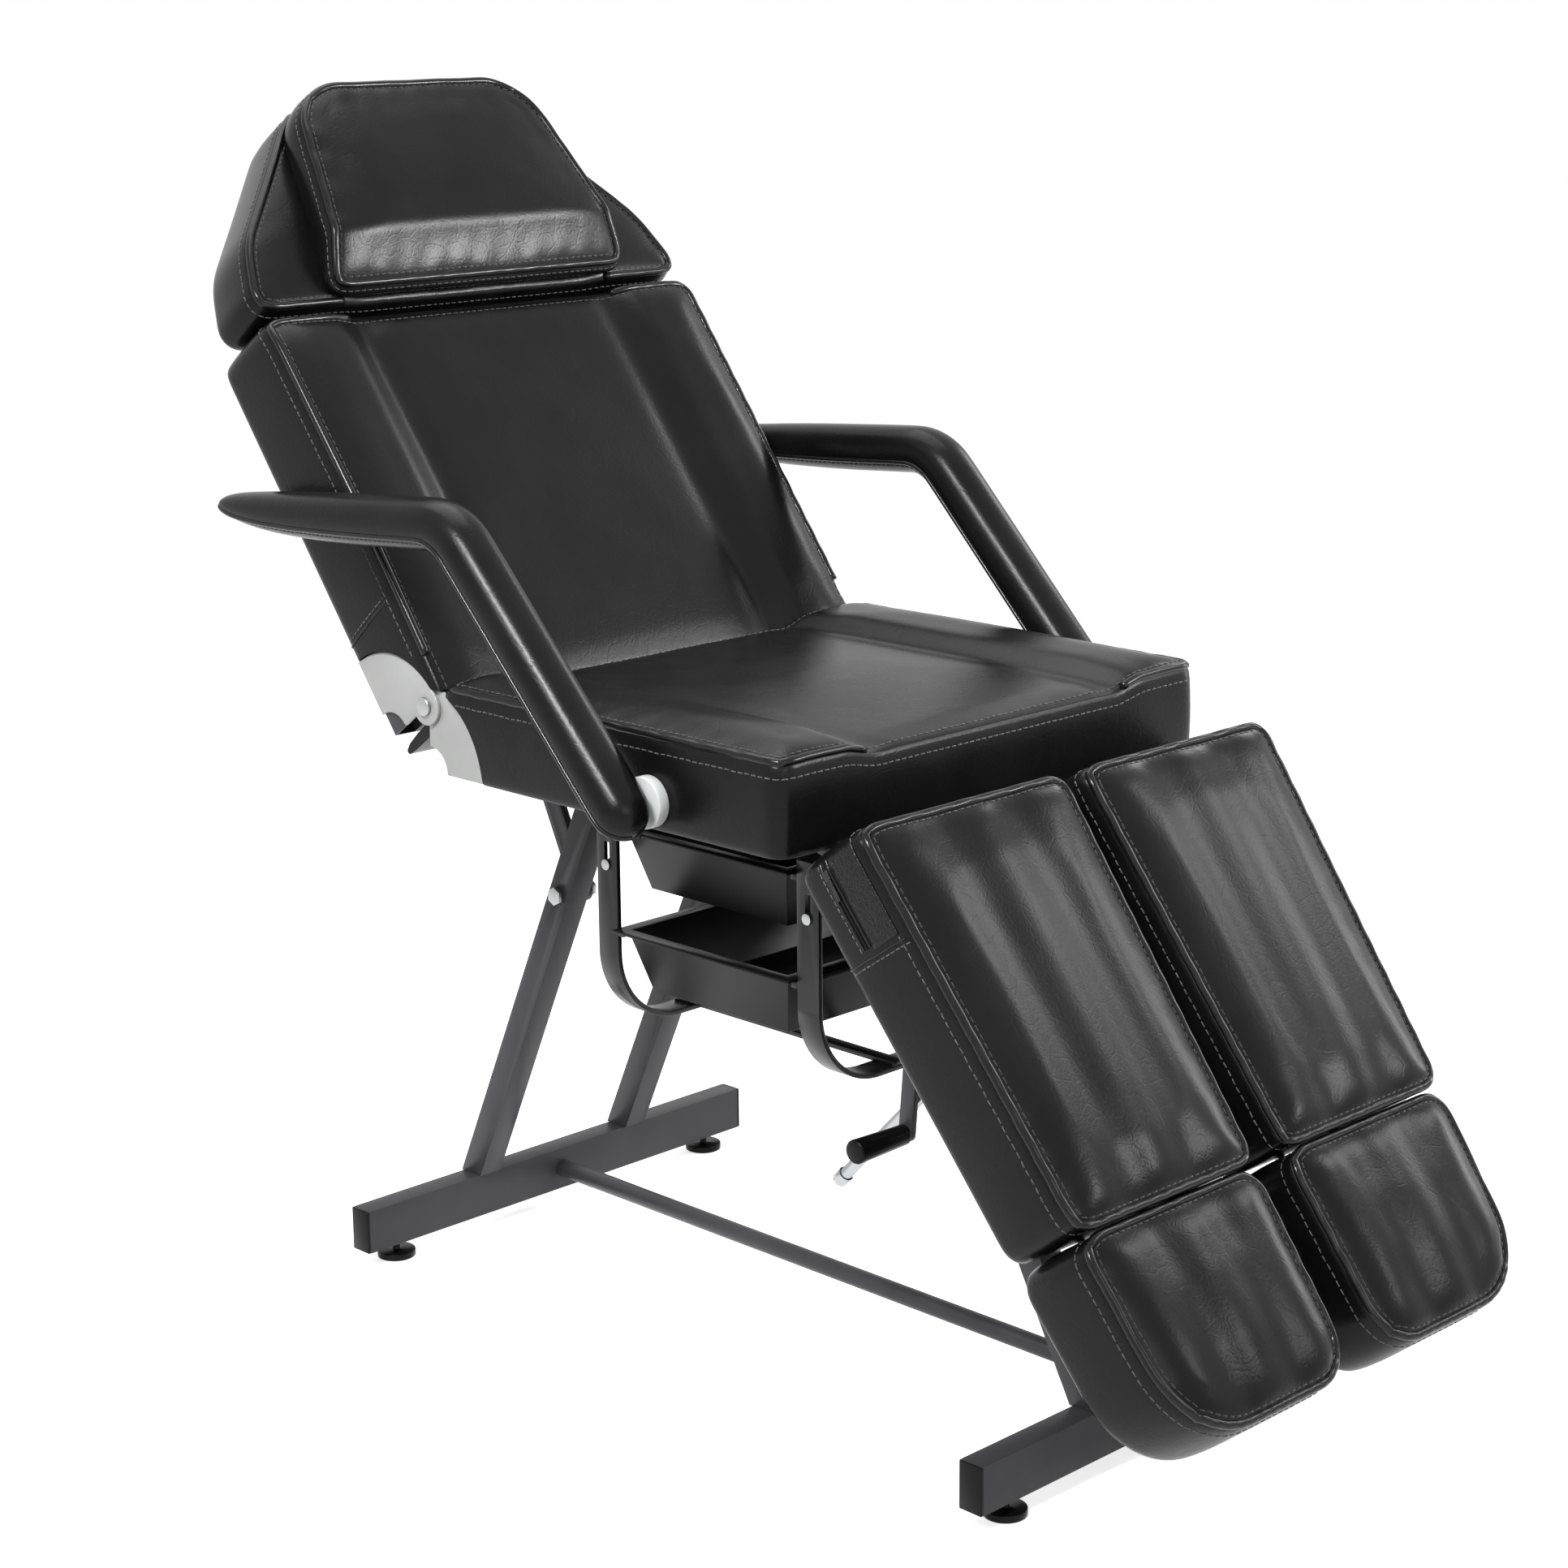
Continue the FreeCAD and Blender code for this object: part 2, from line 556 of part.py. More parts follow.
seat_middle = (seat_front + seat_rear) / 2
seat_loft = section_loft((seat_front - overrun, -half_width, half_width),
                         (seat_rear + overrun, -half_width, half_width),
                         underside, bed_top, 1, crown)
seat_profile = side_face([
    line(Vector(0, seat_front, underside), Vector(0, seat_rear, underside)),
    line(Vector(0, seat_rear, underside), Vector(0, seat_rear, bed_top)),
    arc(Vector(0, seat_rear, bed_top), Vector(0, seat_middle, bed_top + crown),
        Vector(0, seat_front, bed_top)),
    arc(Vector(0, seat_front, bed_top),
        Vector(0, seat_front + size("side_draw"), (underside + bed_top) / 2),
        Vector(0, seat_front, underside)),
], wide_side)
seat_plan = plan_box(seat_front - corner_room, seat_rear + corner_room, -half_width - corner_room,
                     half_width + corner_room, -half_width - corner_room, half_width + corner_room,
                     (size("pad_corner"), size("pad_corner"), 0, 0), underside, bed_top)
seat_foam = plain(seat_loft.common(seat_profile).common(seat_plan))


def plate_recess(start, reach="plate_outer + 2 * soft_gap"):
    """The round notch in both sides of a pad that clears the hinge plates."""
    piece = cylinder("x", reach, (start, "0", UNDERSIDE), "overrun + pad_width")
    return [piece, mirrored(piece)]


bush_hole = cylinder("x", "bush_diameter / 2 + soft_gap", (SEAT_HALF, "arm_pivot_y", "arm_pivot_z"),
                     "pad_width")
node("seat_cushion", cut(
    seat_foam,
    dish(half_width, seat_front - overrun, seat_rear + overrun, bed_top),
    pocket((f"-{SEAT_HALF} - soft_gap", f"{SEAT_HALF} + soft_gap"),
           (f"{SEAT_FRAME_FRONT} - soft_gap", f"{SEAT_FRAME_REAR} + soft_gap"), BOARD_TOP),
    *plate_recess(f"{SEAT_HALF} - soft_gap"), bush_hole, mirrored(bush_hole)))


def hinge_plate(start, toward, hole_gap):
    """A quarter ring on one side of the pivot, with an ear round the pin."""
    ring = cut(cylinder("x", "plate_outer", (start, "0", UNDERSIDE), "plate_thick"),
               cylinder("x", "plate_inner", (f"{start} - overrun", "0", UNDERSIDE),
                        "plate_thick + 2 * overrun"))
    quarter = doc.addObject("Part::Common", "Quarter")
    side = ("-plate_outer", "0") if toward < 0 else ("0", "plate_outer")
    quarter.Base, quarter.Tool = ring, box((start, f"{start} + plate_thick"), side,
                                           (UNDERSIDE, f"{UNDERSIDE} + plate_outer"))
    ear = cylinder("x", "plate_ear", (start, "0", PIVOT_Z), "plate_thick")
    hole = cylinder("x", f"hinge_pin_diameter / 2 + {hole_gap}", (f"{start} - overrun", "0", PIVOT_Z),
                    "plate_thick + 2 * overrun")
    return cut(fuse(quarter, ear), hole)


seat_plate = hinge_plate(SEAT_HALF, -1, "0")
node("seat_hinge_plates", group(seat_plate, mirrored(seat_plate)))
pin_start = f"({SEAT_HALF} + soft_gap)"
recline_pin = fuse(
    cylinder("x", "hinge_pin_diameter / 2", (pin_start, "0", PIVOT_Z),
             f"{BACK_HALF} + plate_thick + plate_gap - {pin_start}"),
    cylinder("x", "hinge_head_diameter / 2", (f"{BACK_HALF} + plate_thick + plate_gap", "0", PIVOT_Z),
             "hinge_head_thick"))
node("recline_pins", group(recline_pin, mirrored(recline_pin)))
leg_pin = cylinder("x", "leg_pin_diameter / 2",
                   ("leg_ear_inner - leg_ear_thick", "-seat_length", f"{UNDERSIDE} - leg_hinge_drop"),
                   "leg_ear_outer - leg_ear_inner + 3 * leg_ear_thick")
node("leg_hinge_pins", group(leg_pin, mirrored(leg_pin)))


# Tray hangers, rails and trays

def hanger(y_place):
    """A flat bar bent into a U, stepped in near its top, with a tab under a frame tube."""
    half, thick, step = size("hanger_half"), size("hanger_thick"), size("hanger_step")
    bend, low, knee = size("hanger_bend"), size("hanger_bottom"), size("hanger_step_z")

    def band(inset, top):
        corners = [Vector(-half + step + inset, top), Vector(-half + step + inset, knee),
                   Vector(-half + inset, knee - step), Vector(-half + inset, low + inset)]
        corners += [Vector(-corner.x, corner.y) for corner in reversed(corners)]
        return rounded_plan(corners, (0, 0, 0, bend - inset, bend - inset, 0, 0, 0),
                            -size("hanger_wide") / 2, size("hanger_wide") / 2)

    shape = band(0, underside).cut(band(thick, underside + overrun))
    shape.rotate(Vector(), Vector(1, 0, 0), 90)
    shape.translate(Vector(0, size(y_place), 0))
    bar = plain(shape)
    y = (f"{y_place} - hanger_wide / 2", f"{y_place} + hanger_wide / 2")
    tab = box(("hanger_half - hanger_step - hanger_foot", "hanger_half - hanger_step"), y,
              (f"{UNDERSIDE} - hanger_thick", UNDERSIDE))
    slot = box(("hanger_half - overrun - hanger_thick", "hanger_half + overrun"),
               (f"{y_place} - hanger_slot_wide / 2", f"{y_place} + hanger_slot_wide / 2"),
               ("hanger_slot_z - hanger_slot_long / 2", "hanger_slot_z + hanger_slot_long / 2"))
    return cut(fuse(bar, tab, mirrored(tab)), slot, mirrored(slot))


node("tray_hangers", group(hanger("hanger_rear_y"), hanger("hanger_front_y")))


def hanger_screw(y_place):
    """The screw at the foot of a hanger's slot, its head outside and a nut inside."""
    z = "hanger_slot_z - hanger_slot_long / 2 + hanger_slot_wide / 2"
    shank = cylinder("x", "hanger_slot_wide / 2", ("hanger_half - hanger_thick", y_place, z),
                     "hanger_thick")
    head_disc = cylinder("x", "hanger_screw_head / 2", ("hanger_half", y_place, z), "hanger_thick / 2")
    inner = cylinder("x", "hanger_screw_head / 2", ("hanger_half - 2 * hanger_thick", y_place, z),
                     "hanger_thick")
    return fuse(shank, head_disc, inner)


screws = [hanger_screw(place) for place in ("hanger_rear_y", "hanger_front_y")]
RAIL_ROWS = (
    ("hanger_rear_y - hanger_wide / 2 - rail_wide", "hanger_rear_y - hanger_wide / 2"),
    ("hanger_front_y + hanger_wide / 2", "hanger_front_y + hanger_wide / 2 + rail_wide"),
)
rails = [
    box(("-hanger_half", "hanger_half"), row, (f"{rim} - tray_rim - rail_high", f"{rim} - tray_rim"))
    for rim in ("tray_upper_rim", "tray_lower_rim") for row in RAIL_ROWS
]
rest_bar = box(("rest_bar_place - rest_bar_wide / 2", "rest_bar_place + rest_bar_wide / 2"),
               ("hanger_front_y - hanger_wide / 2", "hanger_rear_y + hanger_wide / 2"),
               ("hanger_bottom + hanger_thick", "hanger_bottom + hanger_thick + rest_bar_thick"))
node("tray_rails", group(*rails, rest_bar, mirrored(rest_bar)))

TRAY_MIDDLE = "((hanger_rear_y + hanger_front_y) / 2)"
TRAY_HALF_Y = "((hanger_rear_y - hanger_front_y - hanger_wide) / 2 - tray_side_gap)"
TRAY_HALF_X = "(tray_length / 2)"


def tapered_block(z_low, z_high, inset_low, inset_high):
    """A block about the tray's middle whose sides lean out from its base to its top."""
    wedge = doc.addObject("Part::Wedge", "Tapered")
    wedge.Placement = Placement(Vector(), Rotation(Vector(1, 0, 0), 90))
    wedge.setExpression("Placement.Base.y", bound(TRAY_MIDDLE))
    places = {
        "Ymin": z_low, "Ymax": z_high,
        "Xmin": f"-({TRAY_HALF_X} - {inset_low})", "Xmax": f"{TRAY_HALF_X} - {inset_low}",
        "Zmin": f"-({TRAY_HALF_Y} - {inset_low})", "Zmax": f"{TRAY_HALF_Y} - {inset_low}",
        "X2min": f"-({TRAY_HALF_X} - {inset_high})", "X2max": f"{TRAY_HALF_X} - {inset_high}",
        "Z2min": f"-({TRAY_HALF_Y} - {inset_high})", "Z2max": f"{TRAY_HALF_Y} - {inset_high}",
    }
    for name, text in places.items():
        wedge.setExpression(name, bound(text))
    return wedge


def tray(rim):
    """A moulded tray with leaning walls and a flange all round its rim."""
    base = f"({rim} - tray_high)"
    body = tapered_block(base, rim, "(tray_flange + tray_taper)", "tray_flange")
    inside = tapered_block(f"{base} + tray_wall", f"{rim} + tray_wall",
                           "(tray_flange + tray_taper + tray_wall)",
                           "(tray_flange + tray_wall)")
    flange = box((f"-{TRAY_HALF_X}", TRAY_HALF_X),
                 (f"{TRAY_MIDDLE} - {TRAY_HALF_Y}", f"{TRAY_MIDDLE} + {TRAY_HALF_Y}"),
                 (f"{rim} - tray_rim", rim))
    return cut(fuse(body, flange), inside)


node("upper_tray", tray("tray_upper_rim"))
node("lower_tray", tray("tray_lower_rim"))


# Back: frame, board, cushion, hinge plates, rack and the guides of the head rods

back_sides, back_rows = frame_tubes(f"-{BACK_HALF}", BACK_HALF, BACK_FRAME_START, BACK_FRAME_END,
                                    FRAME_TOP)
back_rail = tube(("rail_place - tube_wide / 2", "rail_place + tube_wide / 2"),
                 (f"{BACK_FRAME_START} + tube_wide", f"{BACK_FRAME_END} - tube_wide"),
                 (UNDERSIDE, FRAME_TOP), "y")
HEAD_ROD_Z = f"({UNDERSIDE} + head_rod_rise)"


def along_y(x_place, radius, start, end, z):
    return cylinder("y", radius, (x_place, start, z), f"({end}) - ({start})")


head_rod_bores = [along_y(f"{sign} * head_rod_mid", "head_rod_diameter / 2 + slide_gap",
                          f"{BACK_FRAME_END} - 2 * tube_wide", "back_length + overrun", HEAD_ROD_Z)
                  for sign in (-1, 1)]
node("back_frame", group(*back_sides, back_rows[0], cut(back_rows[1], *head_rod_bores), back_rail,
                         mirrored(back_rail)))
head_guide = cut(
    along_y("head_rod_mid", "head_rod_diameter / 2 + guide_wall",
            f"{BACK_FRAME_END} - tube_wide - head_guide_length", f"{BACK_FRAME_END} - tube_wide",
            HEAD_ROD_Z),
    along_y("head_rod_mid", "head_rod_diameter / 2 + slide_gap",
            f"{BACK_FRAME_END} - tube_wide - head_guide_length", f"{BACK_FRAME_END} - tube_wide",
            HEAD_ROD_Z))
node("head_rod_guides", group(head_guide, mirrored(head_guide)))
BACK_BOARD_HALF = f"({SEAT_HALF} - soft_gap)"
node("back_board", box((f"-{BACK_BOARD_HALF}", BACK_BOARD_HALF), (BACK_FRAME_START, BACK_FRAME_END),
                       (FRAME_TOP, BOARD_TOP)))

nose = size("pad_thick") - size("pivot_rise")
back_end = size("back_length")
back_loft = section_loft((-nose - overrun, -half_width, half_width),
                         (back_end + overrun, -half_width, half_width),
                         underside, bed_top, 1, crown)
back_profile = side_face([
    line(Vector(0, -nose, underside), Vector(0, back_end, underside)),
    arc(Vector(0, back_end, underside),
        Vector(0, back_end - size("side_draw"), (underside + bed_top) / 2),
        Vector(0, back_end, bed_top)),
    arc(Vector(0, back_end, bed_top), Vector(0, back_end / 2, bed_top + crown), Vector(0, 0, bed_top)),
    arc(Vector(0, 0, bed_top), beside(pivot, 135, nose), Vector(0, -nose, pivot.z)),
    line(Vector(0, -nose, pivot.z), Vector(0, -nose, underside)),
], wide_side)
back_plan = plan_box(-nose - corner_room, back_end + corner_room, -half_width - corner_room,
                     half_width + corner_room, -half_width - corner_room, half_width + corner_room,
                     (0, 0, size("pad_corner"), size("pad_corner")), underside, bed_top)
back_foam = plain(back_loft.common(back_profile).common(back_plan))
nose_relief = box((f"{SEAT_HALF} - soft_gap", "pad_width"), ("-pad_thick", BACK_FRAME_START),
                  (f"{UNDERSIDE} - overrun", "bed_top + pad_thick"))
seat_plate_middle = beside(pivot, -size("recline_angle") - 90, size("pivot_rise"))
plate_relief = cylinder("x", "plate_outer + 2 * soft_gap",
                        (f"{SEAT_HALF} - soft_gap", literal(seat_plate_middle.y),
                         literal(seat_plate_middle.z)),
                        "pad_width")
ear_relief = cylinder("x", "plate_ear + 2 * soft_gap", (f"{SEAT_HALF} - soft_gap", "0", PIVOT_Z),
                      "pad_width")
node("back_cushion", cut(
    back_foam,
    dish(half_width, -nose - overrun, back_end + overrun, bed_top),
    pocket((f"-{BACK_HALF} - soft_gap", f"{BACK_HALF} + soft_gap"),
           (f"{BACK_FRAME_START} - soft_gap", f"{BACK_FRAME_END} + soft_gap"), BOARD_TOP),
    *plate_recess(f"{BACK_HALF} - soft_gap"), nose_relief, mirrored(nose_relief), ear_relief,
    mirrored(ear_relief),
    plate_relief, mirrored(plate_relief),
    *[along_y(f"{sign} * head_rod_mid", "head_rod_diameter / 2 + 2 * slide_gap",
              f"{BACK_FRAME_END} - tube_wide",
              "back_length + overrun", HEAD_ROD_Z) for sign in (-1, 1)]))
back_plate = hinge_plate(BACK_HALF, 1, "turn_gap")
node("back_hinge_plates", group(back_plate, mirrored(back_plate)))


# Prop that holds the back, and the rack it catches in

ROD_DROP = size("rack_high") + size("prop_rod_diameter") / 2 - size("rack_bite")


def prop_catch(recline):
    """How far up the back the prop's rod meets the rack, and the prop's angle."""
    foot = beside(pivot, recline, 0, -size("pivot_rise") - ROD_DROP) - prop_pivot
    along = beside(Vector(), recline, 1)
    half_term = foot.dot(along)
    reach = -half_term + math.sqrt(half_term ** 2 - foot.dot(foot) + size("prop_length") ** 2)
    top = foot + along * reach
    return reach, math.degrees(math.atan2(top.z, top.y))


rest_catch, prop_angle = prop_catch(size("recline_angle"))
flat_catch, prop_flat_angle = prop_catch(0)
notch_pitch = (flat_catch - rest_catch) / RACK_STEPS
first_notch = rest_catch - RACK_UPRIGHT_STEPS * notch_pitch
RACK_X = "rail_place - rack_thick / 2"
rack = cut(
    box((RACK_X, "rail_place + rack_thick / 2"),
        (f"{literal(first_notch)} - rack_margin", f"{literal(flat_catch)} + rack_margin"),
        (f"{UNDERSIDE} - rack_high", UNDERSIDE)),
    *[cylinder("x", "rack_notch_radius",
               (f"{RACK_X} - overrun", literal(first_notch + step * notch_pitch),
                                          literal(underside - ROD_DROP)), "rack_thick + 2 * overrun")
      for step in range(RACK_STEPS + RACK_UPRIGHT_STEPS + 1)])
node("rack_plates", group(rack, mirrored(rack)))

prop_top = beside(prop_pivot, prop_angle, size("prop_length"))
brace = beside(prop_pivot, prop_angle, size("brace_place"))
BAR_OUT = "(leg_place - stand_tube / 2 - prop_gap)"
BAR_IN = f"({BAR_OUT} - prop_bar_thick)"
bar_middle = Vector(size("leg_place") - size("stand_tube") / 2 - size("prop_gap")
                    - size("prop_bar_thick") / 2, 0, 0)
bar_rounds = [cylinder("x", "prop_bar_wide / 2", (BAR_IN, literal(end.y), literal(end.z)),
                       "prop_bar_thick")
              for end in (prop_pivot, prop_top)]
prop_bar = cut(
    fuse(slanted(prop_pivot + bar_middle, prop_top + bar_middle, "prop_bar_thick", "prop_bar_wide"),
         *bar_rounds),
    cylinder("x", "bolt_diameter / 2 + turn_gap",
             (f"{BAR_IN} - overrun", literal(prop_pivot.y), literal(prop_pivot.z)),
             "prop_bar_thick + 2 * overrun"))
cross_rod = cylinder("x", "prop_rod_diameter / 2",
                     ("-prop_rod_reach", literal(prop_top.y), literal(prop_top.z)),
                     "2 * prop_rod_reach")
brace_rod = cylinder("x", "bolt_diameter / 2", (f"-{BAR_OUT}", literal(brace.y), literal(brace.z)),
                     f"2 * {BAR_OUT}")
node("back_prop", fuse(prop_bar, mirrored(prop_bar), cross_rod, brace_rod))

lever_end = beside(prop_top, prop_angle - prop_flat_angle + size("release_angle"), size("release_length"))
lever_middle = Vector(-size("prop_rod_reach") + size("release_thick") / 2, 0, 0)
release_rounds = [
    cylinder("x", radius, ("-prop_rod_reach", literal(end.y), literal(end.z)), "release_thick")
    for radius,
    end in (("release_wide / 2 + prop_rod_diameter / 4", prop_top), ("release_wide / 2", lever_end))
]
node("release_lever", cut(
    fuse(slanted(prop_top + lever_middle, lever_end + lever_middle, "release_thick", "release_wide"),
         *release_rounds),
    cylinder("x", "prop_rod_diameter / 2 + turn_gap",
             ("-prop_rod_reach - overrun", literal(prop_top.y), literal(prop_top.z)),
             "release_thick + 2 * overrun")))
node("release_grip", cylinder("x", "release_grip_diameter / 2",
                              ("-prop_rod_reach - release_grip_length", literal(lever_end.y),
                               literal(lever_end.z)),
                              "release_grip_length"))


def biarc(start, start_way, end, end_way):
    """The points of two arcs, in line with each other, that join two points with given directions."""
    span = end - start
    ways = start_way + end_way
    a, b, c = 2 * (1 - start_way.dot(end_way)), 2 * span.dot(ways), -span.dot(span)
    reach = (-b + math.sqrt(b * b - 4 * a * c)) / (2 * a)
    return (start + start_way * reach + end - end_way * reach) * 0.5


def arc_axis(start, way, end):
    """The centre and the axis of the arc that leaves a point in a given direction and reaches another."""
    chord = end - start
    axis = way.cross(chord).normalize()
    outward = axis.cross(way)
    centre = start + outward * (chord.dot(chord) / (2 * chord.dot(outward)))
    return centre, axis, math.degrees(2 * way.getAngle(chord))


def spring_shape(start, end):
    """A tension spring between two points: straight ends and close turns between them.

    Its wire is swept arc by arc, each as a turn of the same circle about the arc's own axis.
    """
    length = (end - start).Length
    radius, wire, leg = size("spring_coil") / 2, size("spring_wire"), size("spring_leg")
    turns = math.floor((length - 2 * leg) / size("spring_pitch")) - 1
    settle = size("spring_settle")
    coil_length = length - 2 * leg - 2 * settle
    first = size("spring_lead_in") / 360
    last = turns + 0.5 - first
    up = Vector(0, 0, 1)

    def on_coil(turn):
        angle = math.tau * turn
        return Vector(radius * math.cos(angle), radius * math.sin(angle),
                      leg + settle + coil_length * (turn - first) / (last - first))

    def heading(turn):
        angle = math.tau * turn
        rate = coil_length / (last - first) / math.tau
        return Vector(-radius * math.sin(angle), radius * math.cos(angle), rate).normalize()

    stops = [first] + [count / 2 for count in range(1, 2 * turns + 1)] + [last]
    points = [(Vector(radius, 0, leg), up)]
    points += [(on_coil(turn), heading(turn)) for turn in stops]
    points.append((Vector(-radius, 0, length - leg), up))

    ring = Part.Wire(Part.Circle(Vector(radius, 0, 0), up, wire / 2).toShape())
    faces, here, way = [Part.Face(ring)], Vector(radius, 0, 0), up

    def sweep_straight(reach):
        nonlocal ring, here
        faces.extend(ring.extrude(way * reach).Faces)
        ring, here = ring.translated(way * reach), here + way * reach

    def sweep_arc(target):
        nonlocal ring, here, way
        centre, axis, angle = arc_axis(here, way, target)
        faces.extend(ring.revolve(centre, axis, angle).Faces)
        ring = ring.rotated(centre, axis, angle)
        way = Rotation(axis, angle).multVec(way)
        here = target

    sweep_straight(leg)
    for (low, low_way), (high, high_way) in zip(points, points[1:]):
        sweep_arc(biarc(low, low_way, high, high_way))
        sweep_arc(high)
    sweep_straight(leg)
    faces.append(Part.Face(ring))
    skin = Part.Shell(faces)
    skin.sewShape()
    spring = Part.Solid(Part.Shell(skin.Faces))
    if spring.Volume < 0:
        spring.reverse()
    gap = coil_length / (last - first) - wire
    print(f"spring: {turns} turns, least gap between turns {gap:.2f} mm")
    print(f"spring: solid {spring.isValid()}, volume {spring.Volume:.0f}")
    spring.Placement = Placement(start, Rotation(up, end - start))
    return spring


spring_start = Vector(0, size("spring_tab_y") + size("soft_gap"), underside - size("spring_tab_high") / 2)
to_brace = (brace - spring_start).normalize()
spring_end = brace - to_brace * (size("bolt_diameter") / 2 + size("soft_gap"))
node("prop_spring", plain(spring_shape(spring_start, spring_end)))


# Head section and pillow

HEAD_START = "(back_length + head_gap)"
HEAD_PLATE_Z = f"({HEAD_ROD_Z} + head_rod_diameter / 2)"
HEAD_BOARD_Z = f"({HEAD_PLATE_Z} + bracket_sheet)"
HEAD_BOARD_TOP = f"({HEAD_BOARD_Z} + head_board_thick)"
HEAD_BOARD_X = "(head_rod_mid + 2 * head_rod_diameter)"
HEAD_BOARD_START = f"({HEAD_START} + skirt + soft_gap)"
HEAD_BOARD_END = f"({HEAD_START} + head_length - 3 * head_rod_rise)"
head_rods = [along_y(f"{sign} * head_rod_mid", "head_rod_diameter / 2", "back_length - head_rod_hidden",
                     f"{HEAD_START} + head_rod_seat", HEAD_ROD_Z) for sign in (-1, 1)]
head_plate = box((f"-{HEAD_BOARD_X}", HEAD_BOARD_X), (HEAD_BOARD_START, f"{HEAD_START} + head_rod_seat"),
                 (HEAD_PLATE_Z, HEAD_BOARD_Z))
node("head_rods", group(*head_rods, head_plate))
node("head_board", box((f"-{HEAD_BOARD_X}", HEAD_BOARD_X), (HEAD_BOARD_START, HEAD_BOARD_END),
                       (HEAD_BOARD_Z, HEAD_BOARD_TOP)))

head_near = back_end + size("head_gap")
head_far = head_near + size("head_length")


def head_plan():
    """Full width at the lower end, drawn in to a waist and rounded over the top."""
    full, waist, top = size("head_half_width"), size("head_waist"), size("head_top_width")
    length = size("head_length")
    corner = size("pad_corner")

    def place(x, share):
        return Vector(x, head_near + length * share)

    side = [
        (place(full - corner, 0), place(full - corner * CORNER_SHARE, CORNER_SHARE * corner / length),
         place(full, corner / length)),
        (place(full, corner / length), place(full - corner / 2, HEAD_SHOULDER_SHARES[0]),
         place(full - corner * SHOULDER_DRAW_SHARE, HEAD_SHOULDER_SHARES[1])),
        (place(full - corner * SHOULDER_DRAW_SHARE, HEAD_SHOULDER_SHARES[1]),
         place((full + waist) / 2 - corner, HEAD_WAIST_SHARES[0]),
         place(waist, HEAD_WAIST_SHARES[1])),
        (place(waist, HEAD_WAIST_SHARES[1]), place((waist + top) / 2 + corner / 2, HEAD_TOP_SHARES[0]),
         place(top, 1)),
    ]
    edges = [arc(*points) for points in side]
    other = [[Vector(-point.x, point.y) for point in reversed(points)] for points in reversed(side)]
    edges += [line(place(top, 1), place(-top, 1))] + [arc(*points) for points in other]
    edges.append(line(place(-full + corner, 0), place(full - corner, 0)))
    face = Part.Face(Part.Wire(edges))
    face.translate(Vector(0, 0, underside - overrun))
    return face.extrude(Vector(0, 0, size("pad_thick") + 2 * overrun + crown))


head_low, head_low_end = bed_top - size("head_thick"), bed_top - size("head_end_thick")
draw = size("side_draw")
head_profile = side_face([
    line(Vector(0, head_near, head_low), Vector(0, head_far, head_low_end)),
    arc(Vector(0, head_far, head_low_end), Vector(0, head_far - draw, (head_low_end + bed_top) / 2),
        Vector(0, head_far, bed_top)),
    line(Vector(0, head_far, bed_top), Vector(0, head_near, bed_top)),
    arc(Vector(0, head_near, bed_top), Vector(0, head_near + draw, (head_low + bed_top) / 2),
        Vector(0, head_near, head_low)),
], wide_side)
head_foam = plain(head_plan().common(head_profile))
node("head_cushion", cut(
    head_foam,
    pocket((f"-{HEAD_BOARD_X} - soft_gap", f"{HEAD_BOARD_X} + soft_gap"),
           (f"{HEAD_BOARD_START} - soft_gap", f"{HEAD_BOARD_END} + soft_gap"), HEAD_BOARD_TOP),
    *[along_y(f"{sign} * head_rod_mid", "head_rod_diameter / 2 + soft_gap", f"{HEAD_START} - overrun",
              f"{HEAD_START} + 2 * skirt", HEAD_ROD_Z) for sign in (-1, 1)]))

pillow_near = head_near + size("pillow_start")
pillow_far = pillow_near + size("pillow_length")
pillow_low = bed_top + size("soft_gap")
pillow_top = pillow_low + size("pillow_thick")
bevel_end = pillow_near + size("pillow_bevel")
pillow_profile = side_face([
    line(Vector(0, pillow_near, pillow_low), Vector(0, pillow_far, pillow_low)),
    arc(Vector(0, pillow_far, pillow_low), Vector(0, pillow_far - draw, (pillow_low + pillow_top) / 2),
        Vector(0, pillow_far, pillow_top)),
    arc(Vector(0, pillow_far, pillow_top),
        Vector(0, (pillow_far + bevel_end) / 2, pillow_top + crown / 2),
        Vector(0, bevel_end, pillow_top)),
    line(Vector(0, bevel_end, pillow_top), Vector(0, pillow_near, pillow_low + size("pillow_edge"))),
    line(Vector(0, pillow_near, pillow_low + size("pillow_edge")), Vector(0, pillow_near, pillow_low)),
], wide_side)
pillow_half, pillow_top_half = size("pillow_half_width"), size("pillow_top_width")
pillow_plan = rounded_plan(
    [Vector(-pillow_half, pillow_near - corner_room), Vector(pillow_half, pillow_near - corner_room),
     Vector(pillow_top_half, pillow_far + corner_room),
     Vector(-pillow_top_half, pillow_far + corner_room)],
    (size("pillow_edge"), size("pillow_edge"), size("pillow_corner"), size("pillow_corner")),
    pillow_low - overrun, pillow_top + 2 * crown)
pillow_loft = section_loft((pillow_near - overrun, -pillow_half, pillow_half),
                           (pillow_far + overrun, -pillow_top_half, pillow_top_half),
                           pillow_low, pillow_top, 1, crown / 2)
node("head_pillow", plain(pillow_plan.common(pillow_profile).common(pillow_loft)))


# Leg pads and foot pads, drawn on the left and mirrored to the right

